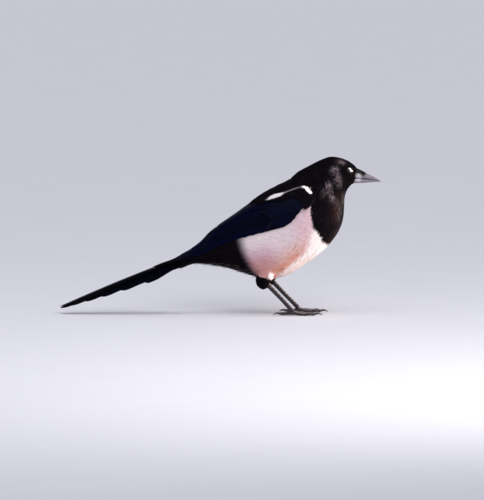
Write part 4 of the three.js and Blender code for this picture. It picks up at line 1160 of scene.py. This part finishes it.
# where the roots lie on the shoulder, as shares along and across it, and at the bend, as stations and degrees
SHOULDER_ROOTS = np.linspace(0.9, 0.0, 21), np.linspace(-0.3, 1.15, 25)
BEND_ROOTS = np.linspace(7.75, 6.85, 7), np.linspace(34, 80, 16)


def near_line(points, line):
    """1 on a line of spots in the side view and 0 away from it."""
    x, z = points[:, 0], points[:, 2] - SIDE_RISE * points[:, 1]
    best = np.zeros(len(points))
    for (x0, z0, r0), (x1, z1, r1) in zip(line[:-1], line[1:]):
        along = np.array([x1 - x0, z1 - z0])
        t = np.clip(((x - x0) * along[0] + (z - z0) * along[1]) / (along @ along), 0, 1)
        away = np.hypot(x - x0 - t * along[0], z - z0 - t * along[1])
        best = np.maximum(best, smooth(mix(r0, r1, t) - away, -0.45, 0.45))
    return best


def shoulder_white(points):
    return np.max([share * near_line(points, line) for share, line in MARKINGS], axis=0)


def wing_bend(station, angle, height=0.0):
    """The body's surface with the step from the neck up onto the front edge of the wing."""
    held = smooth(np.degrees(angle), 88, 79)
    return body(station, angle, height + BEND_RISE * smooth(station, 6.85, 7.45) * held)


for sign, side in ((1, "left"), (-1, "right")):
    rng = np.random.default_rng(90 + (sign > 0))
    u, v = (x.ravel() for x in lattice(*SHOULDER_ROOTS))
    count = len(u)
    u, v = u + scatter(rng, 0.03, count), v + scatter(rng, 0.05, count)
    length = mix(14.0, 11.0, u) * (0.85 + 0.3 * rng.random(count))
    high = np.interp(v, *zip(*SHOULDER_RISE)) * smooth(u, 1.25, 0.7) + 0.4 * rng.random(count)
    points, faces, numbers, grid = plumes(
        shoulder, u, v, length, 5.0, high - 1.8, high, scatter(rng, np.radians(12), count),
        ragged=0.7, dome=0.08, curl=-0.4, seed=92 + (sign > 0),
    )
    numbers["white"] = shoulder_white(points)
    name, u = f"shoulder_feathers_{side}", np.clip(u, 0, 1)
    shoulders = plumed(name, points * (1, sign, 1), faces, numbers, grid, u * 0.9 + 0.05, v * 0.5 + 0.3)
    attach(shoulders, "root")
    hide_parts(f"scapulars_{side}")

    s, degrees = (x.ravel() for x in lattice(*BEND_ROOTS))
    count = len(s)
    s, degrees = s + scatter(rng, 0.05, count), degrees + scatter(rng, 1.5, count)
    points, faces, numbers, grid = plumes(
        wing_bend, s, np.radians(degrees), 8.0 + 2 * rng.random(count), 3.6, -1.0,
        0.3 + 0.3 * rng.random(count), scatter(rng, np.radians(10), count), ragged=0.7, dome=0.08,
        seed=96 + (sign > 0),
    )
    numbers["white"] = shoulder_white(points)
    name, u = f"feathers_wing_bend_{side}", s / len(STATIONS)
    bend = plumed(name, points * (1, sign, 1), faces, numbers, grid, u, degrees / 360)
    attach(bend, "root")

# Tail: twelve long, glossy feathers in a closed fan, the middle pair longest and on top, each next pair
# shorter and a layer below. Coverts lie over and under its root.
TAIL_ROOT, TAIL_TIP = np.array([-38.4, 0, 75.6]), np.array([-200.6, 0, 9.6])
TAIL_BOW, TAIL_LAYER = 1.6, 1.4
# length as a share of the longest, and how far aside the shaft lies, for each pair from the middle outwards
TAIL_PAIRS = [(1, 1.6), (0.93, 4.2), (0.82, 6.4), (0.70, 8.5), (0.55, 10.4), (0.37, 12.2)]
OUTER_WEB, INNER_WEB = 7.0, 11.0
TAIL_START = 0.3  # how far behind the end of the body the vanes begin
TAIL_OUTLINE = 0.7, 0.1, 0.85
TAIL_ARCH = 34, 15  # how flat the tail's back is across, at its root and at its tip
ROOT_SPREAD, FAN_OPEN = 0.32, 52  # how narrow the fan is at its root, and where it is fully open
STUB_RINGS, STUB_SIDES = 20, 36
TAIL_LENGTH = np.linalg.norm(TAIL_TIP - TAIL_ROOT)
TAIL_ALONG = (TAIL_TIP - TAIL_ROOT) / TAIL_LENGTH
TAIL_UP = np.array([TAIL_ALONG[2], 0, -TAIL_ALONG[0]])


def tail(distance, aside, up=0.0):
    """A point of the tail in millimetres: distance from the body, to the left, and up from its upper line."""
    distance, aside, up = (x[..., None] for x in np.broadcast_arrays(distance, aside, up))
    bow = TAIL_BOW * np.sin(np.pi * np.clip(distance / TAIL_LENGTH, 0, 1))
    return TAIL_ROOT + TAIL_ALONG * distance + TAIL_UP * (up + bow) + np.array([0, 1.0, 0]) * aside


tail_paint = finish(
    "tail_gloss",
    {"Specular IOR Level": 0.04, "Coat Roughness": 0.3, "Anisotropic": 0.3},
    lambda w: {
        "Base Color": flight_colours(w, (0.0010, 0.0008, 0.002), (0.002, 0.003, 0.008)),
        "Metallic": w.noise(30.0) * 0.1 + 0.05,
        "Roughness": w.noise(400.0) * 0.14 + 0.36,
        "Coat Weight": w.value("along") * 0.07,
        "Normal": w.bump(barbs(w, 0.9), 0.0002, 0.25),
    },
)
TAIL_ROWS = np.concatenate([np.linspace(0, 0.8, 28), [0.85, 0.9, 0.94, 0.97, 0.99, 1.0]])
TAIL_COLUMNS = np.array([1.0, 0.7, 0.35, 0.06, 0.0, -0.06, -0.35, -0.7, -1.0])  # 0 is the shaft
rng = np.random.default_rng(100)
t, c = lattice(TAIL_ROWS, TAIL_COLUMNS)
vanes, cells = [], []
for pair, (length, aside) in enumerate(TAIL_PAIRS):
    for sign in (1, -1):
        distance = TAIL_START + t * length * (TAIL_LENGTH - TAIL_START)
        spread = mix(ROOT_SPREAD, 1, smooth(distance, 0, FAN_OPEN))
        arch = mix(*TAIL_ARCH, distance / TAIL_LENGTH)
        layer = ((0 if sign > 0 else 1) if pair == 0 else pair + 1) * TAIL_LAYER
        web = outline(t, *TAIL_OUTLINE) * spread
        web *= 1 + scatter(rng, 0.02, t.shape) * (np.abs(c) > 0.9)
        shaft = aside * spread
        inset = -OUTER_WEB * web if pair == 0 else np.maximum(0.5, shaft - INNER_WEB * web)
        outer = (OUTER_WEB + (2 if pair == 0 else 0)) * web
        y = shaft + np.where(c > 0, c * outer, c * (shaft - np.minimum(inset, shaft - 0.4)))
        top = -1.3 * (1 - smooth(distance, 18, 44)) - layer * mix(0.62, 1, spread) - y * y / (2 * arch)
        top += 0.25 * np.exp(-((c / 0.08) ** 2)) * (1 - 0.7 * t)
        numbers = carried(t.shape, along=t, reach=distance, across=y - shaft, tone=rng.random())
        vanes.append((tail(distance, sign * y, top), numbers))
        column = (pair * 2 + (sign < 0)) / (2 * len(TAIL_PAIRS))
        cells.append(np.stack([BAKE_GAP + column + (c + 1) / 2 * 0.07, 0.01 + t * 0.9], -1).reshape(-1, 2))
fan = vaned("tail_vanes", vanes, np.concatenate(cells), TAIL_ROWS, TAIL_COLUMNS, tail_paint)
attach(fan, "root")
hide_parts("tail")

# the fleshy root inside the fan
t, turn = rounds(np.linspace(0, 1, STUB_RINGS), STUB_SIDES)
up = -6.2 + mix(4.1, 1.2, t**2) * np.cos(turn)
stub, faces = closed(tail(mix(-0.2 + 0.21 * up, 40, t), mix(7.4, 3, t**2) * np.sin(turn), up))
stub = piece("tail_root", stub, faces, skin_paint)
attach(stub, "root")

COVERT_RISE = 2.2  # how far the coverts over the tail stand off it at their roots


def over_tail(u, v, height=0.0):
    stand = height + COVERT_RISE * smooth(u, 60, -8) - (1 - smooth(u, 18, 44))
    return tail(u, v, stand - v * v / 40)


def under_tail(u, v, height=0.0):
    return tail(u, v, -13.0 + np.clip(u, -30, 60) * 0.03 - height + v * v / 34)


# surface, count, first and last distance, half-width, length and width, height of the tips
COVERTS = {
    "over": (over_tail, 170, (-14, 32), 8.0, (17, 4.2), 0.3),
    "under": (under_tail, 190, (-22, 36), 9.0, (16, 3.8), -0.3),
}
for number, (name, cover) in enumerate(COVERTS.items()):
    surface, count, (first, last), half, (length, width), high = cover
    rng = np.random.default_rng(110 + number)
    u = np.linspace(last, first, count)
    v = half * (1 - 0.3 * smooth(u, 0, 26)) * np.sin(np.arange(count) * GOLDEN)
    points, faces, numbers, grid = plumes(
        surface, u, v, length, width, -1.6, high + 0.5 * rng.random(count),
        0.08 * np.sign(v) * rng.random(count), ragged=0.4, seed=112 + number,
    )
    coverts = plumed(f"tail_coverts_{name}", points, faces, numbers, grid, (u + 30) / 70, v / 30 + 0.5)
    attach(coverts, "root")

# Vent fringe: long, loose, grey-black plumes, rooted in the skin behind the legs. They hang from the vent
# and blur its lower edge.
FRINGE = 320
FRINGE_ENDS, FRINGE_HALF = (12.2, 15.7), np.radians(46)  # its stations, and how far round on each side
rng = np.random.default_rng(120)
s = mix(*FRINGE_ENDS, rng.random(FRINGE))
a = np.pi + FRINGE_HALF * (rng.random(FRINGE) * 2 - 1)
points, faces, numbers, grid = plumes(
    body, s, a, 9 + 5 * rng.random(FRINGE), 1.1 + 0.7 * rng.random(FRINGE), -0.6,
    0.4 + 0.8 * rng.random(FRINGE), scatter(rng, np.radians(30), FRINGE), ragged=1.2,
    curl=1.0 + 1.6 * rng.random(FRINGE), seed=121,
)
# painted grey-brown highlights at random towards their tips
numbers["lit"] = (0.35 * rng.random((FRINGE, 1, 1))) * smooth(grid[0], 0.3, 1.0)
fringe = plumed("feathers_vent_fringe", points, faces, numbers, grid, s / len(STATIONS), turns(a))
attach(fringe, "root")

# Shanks: bare legs of scaly skin, let into the feathers of the ankle above and the toes below. In front a
# row of broad scutes covers them, which overlap downwards like tiles.
# The fronts of the shanks and the tops of the toes are painted pale, a painted highlight on the black scales.
leg_paint = finish(
    "leg_scales",
    {"Specular IOR Level": 0.45},
    lambda w: {
        "Base Color": w.value("rim").step(0.2, 1.0).between(
            w.value("front").between(
                w.noise(500.0).between((0.010, 0.007, 0.009), (0.030, 0.020, 0.025)),
                w.noise(500.0).between((0.26, 0.215, 0.225), (0.42, 0.36, 0.37)),
            ),
            (0.30, 0.26, 0.27),
        ),
        "Roughness": w.noise(900.0) * 0.2 + 0.38,
        "Normal": w.bump(w.noise(1600.0), 0.0003, 0.6),
    },
)
SCUTES = 9
SCUTE_EDGE = 0.42  # how far the lower edge of a scute stands out
SHANK_RINGS, SHANK_SIDES = 150, 36
SHANK_FORWARD = {"right": 1.3, "left": 0.7}  # how far the middle of each is bent forward
for side in LEGS:
    _, _, ankle, foot = joints(side)
    middle = mix(ankle, foot, 0.5) + (SHANK_FORWARD[side] - 0.6, 0, -0.2)
    shank = tube([ankle + (-1.6, 0, 2), middle, foot + (-1.2, 0, 1.4)], [3.2, 2.8, 3.0], 0.70)
    u, v = rounds(np.linspace(0, 1, SHANK_RINGS), SHANK_SIDES)
    front = smooth(np.cos(v), -0.1, 0.5)
    phase = np.mod(u * SCUTES + 0.12 * np.cos(v), 1)
    tile = np.where(phase < 0.9, phase / 0.9, (1 - phase) / 0.1)
    seam = np.exp(-((np.cos(v) + 0.1) / 0.07) ** 2)
    height = SCUTE_EDGE * (tile - 0.5) * front - 0.18 * seam * (1 - front)
    height += 0.05 * np.sin(u * 90) * (1 - front)
    points, faces = closed(shank(u, v, height), front=(-0.5, 0, 0.5), back=(0.3, 0, -0.4))
    rim, lit = smooth(phase, 0.72, 0.9) * (phase < 0.93) * front, smooth(np.cos(v), 0.45, 0.95)
    leg = piece(f"shank_{side}", points, faces, leg_paint, {"rim": on_rings(rim), "front": on_rings(lit)})
    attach(leg, "root")
    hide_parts(f"tarsus_{side}")

# Toes and claws: one toe behind and three in front, each with scutes on top and soft pads below, and a
# curved, grooved black claw let into its tip.
claw_paint = finish(
    "claw_horn",
    {"Specular IOR Level": 0.55, "Coat Roughness": 0.12},
    lambda w: {
        "Base Color": w.value("tip").between(
            w.noise(700.0).between((0.012, 0.010, 0.011), (0.030, 0.026, 0.027)), (0.055, 0.048, 0.047)
        ),
        "Roughness": w.noise(900.0) * 0.15 + 0.2,
        "Coat Weight": w.noise(300.0) * 0.4,
        "Normal": w.bump(w.noise(900.0, (1.0, 1.0, 5.0)), 0.0002, 0.5),
    },
)
# heading in degrees from straight ahead, radius at its root, pads, length, scutes
TOES = [(176, 2.5, 1, 16, 7), (-27, 2.2, 2, 18, 8), (-3, 2.4, 3, 27, 12), (22, 2.2, 3, 20, 9)]
CLAW = 9.5  # its length
# the middle lines of toe and claw: share of the length, and height over the floor
TOE_LINE = [(0, 3.6), (0.33, 2.5), (0.66, 2.0), (1, 1.7)]
CLAW_LINE = [(0, 1.9), (0.35, 2.7), (0.72, 2.0), (0.97, 0.45)]
TOE_TAPER, CLAW_RADII = np.array([1, 0.92, 0.84, 0.7]), (1.45, 1.15, 0.75, 0.18)
TOE_RINGS, TOE_SIDES, CLAW_RINGS, CLAW_SIDES = 90, 32, 40, 24
# the tops of the toes carry the same painted highlight as the fronts of the shanks
TOE_PALE = 0.42  # how pale the tops of the toes are beside the fronts of the shanks
for side in LEGS:
    foot = joints(side)[3]
    skins, rims, tops = [], [], []
    for digit, (heading, radius, pads, length, scutes) in enumerate(TOES, 1):
        heading = math.radians(heading)

        def place(distance, height):
            return (foot[0] + distance * math.cos(heading), foot[1] + distance * math.sin(heading), height)

        toe = tube([place(length * share, height) for share, height in TOE_LINE], TOE_TAPER * radius)
        u, v = rounds(np.linspace(0, 1, TOE_RINGS), TOE_SIDES)
        above = smooth(np.cos(v), -0.05, 0.5)
        below = smooth(-np.cos(v), 0.0, 0.6)
        phase = np.mod(u * scutes + 0.1 * np.cos(v), 1)
        tile = np.where(phase < 0.88, phase / 0.88, (1 - phase) / 0.12)
        own = radius * mix(1, 0.7, u)
        height = own * 0.14 * np.cos((u - 0.04) * pads * 2 * np.pi)
        height += 0.34 * (tile - 0.5) * above + 0.1 * np.sin(u * 140) * np.sin(v * 9) * below
        rings = toe(u, v, height)
        rings[..., 2] = np.maximum(rings[..., 2], 0.02)
        points, faces = closed(rings)
        points[:, 2] = np.maximum(points[:, 2], 0)
        skins.append((points, faces))
        rims.append(on_rings(smooth(phase, 0.66, 0.88) * (phase < 0.92) * above))
        tops.append(on_rings(TOE_PALE * smooth(np.cos(v), 0.1, 0.9)))

        line = [place(length + 0.2 + CLAW * share, height) for share, height in CLAW_LINE]
        horn = tube(line, CLAW_RADII, 0.8)
        u, v = rounds(np.linspace(0, 1, CLAW_RINGS), CLAW_SIDES)
        groove = np.exp(-(((either_way(v) - 2.0) / 0.3) ** 2)) * (1 - u)
        points, faces = closed(horn(u, v, -0.16 * groove))
        points[:, 2] = np.maximum(points[:, 2], 0)
        tip = on_rings(smooth(u, 0.3, 1))
        claw = piece(f"claw_horn_{side}_{digit}", points, faces, claw_paint, {"tip": tip})
        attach(claw, "root")
        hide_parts(f"claw_{side}_{digit}")
    rim, top = np.concatenate(rims), np.concatenate(tops)
    toes = piece(f"toes_{side}", *together(skins), leg_paint, {"rim": rim, "front": top})
    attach(toes, "root")
    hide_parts(f"foot_{side}")
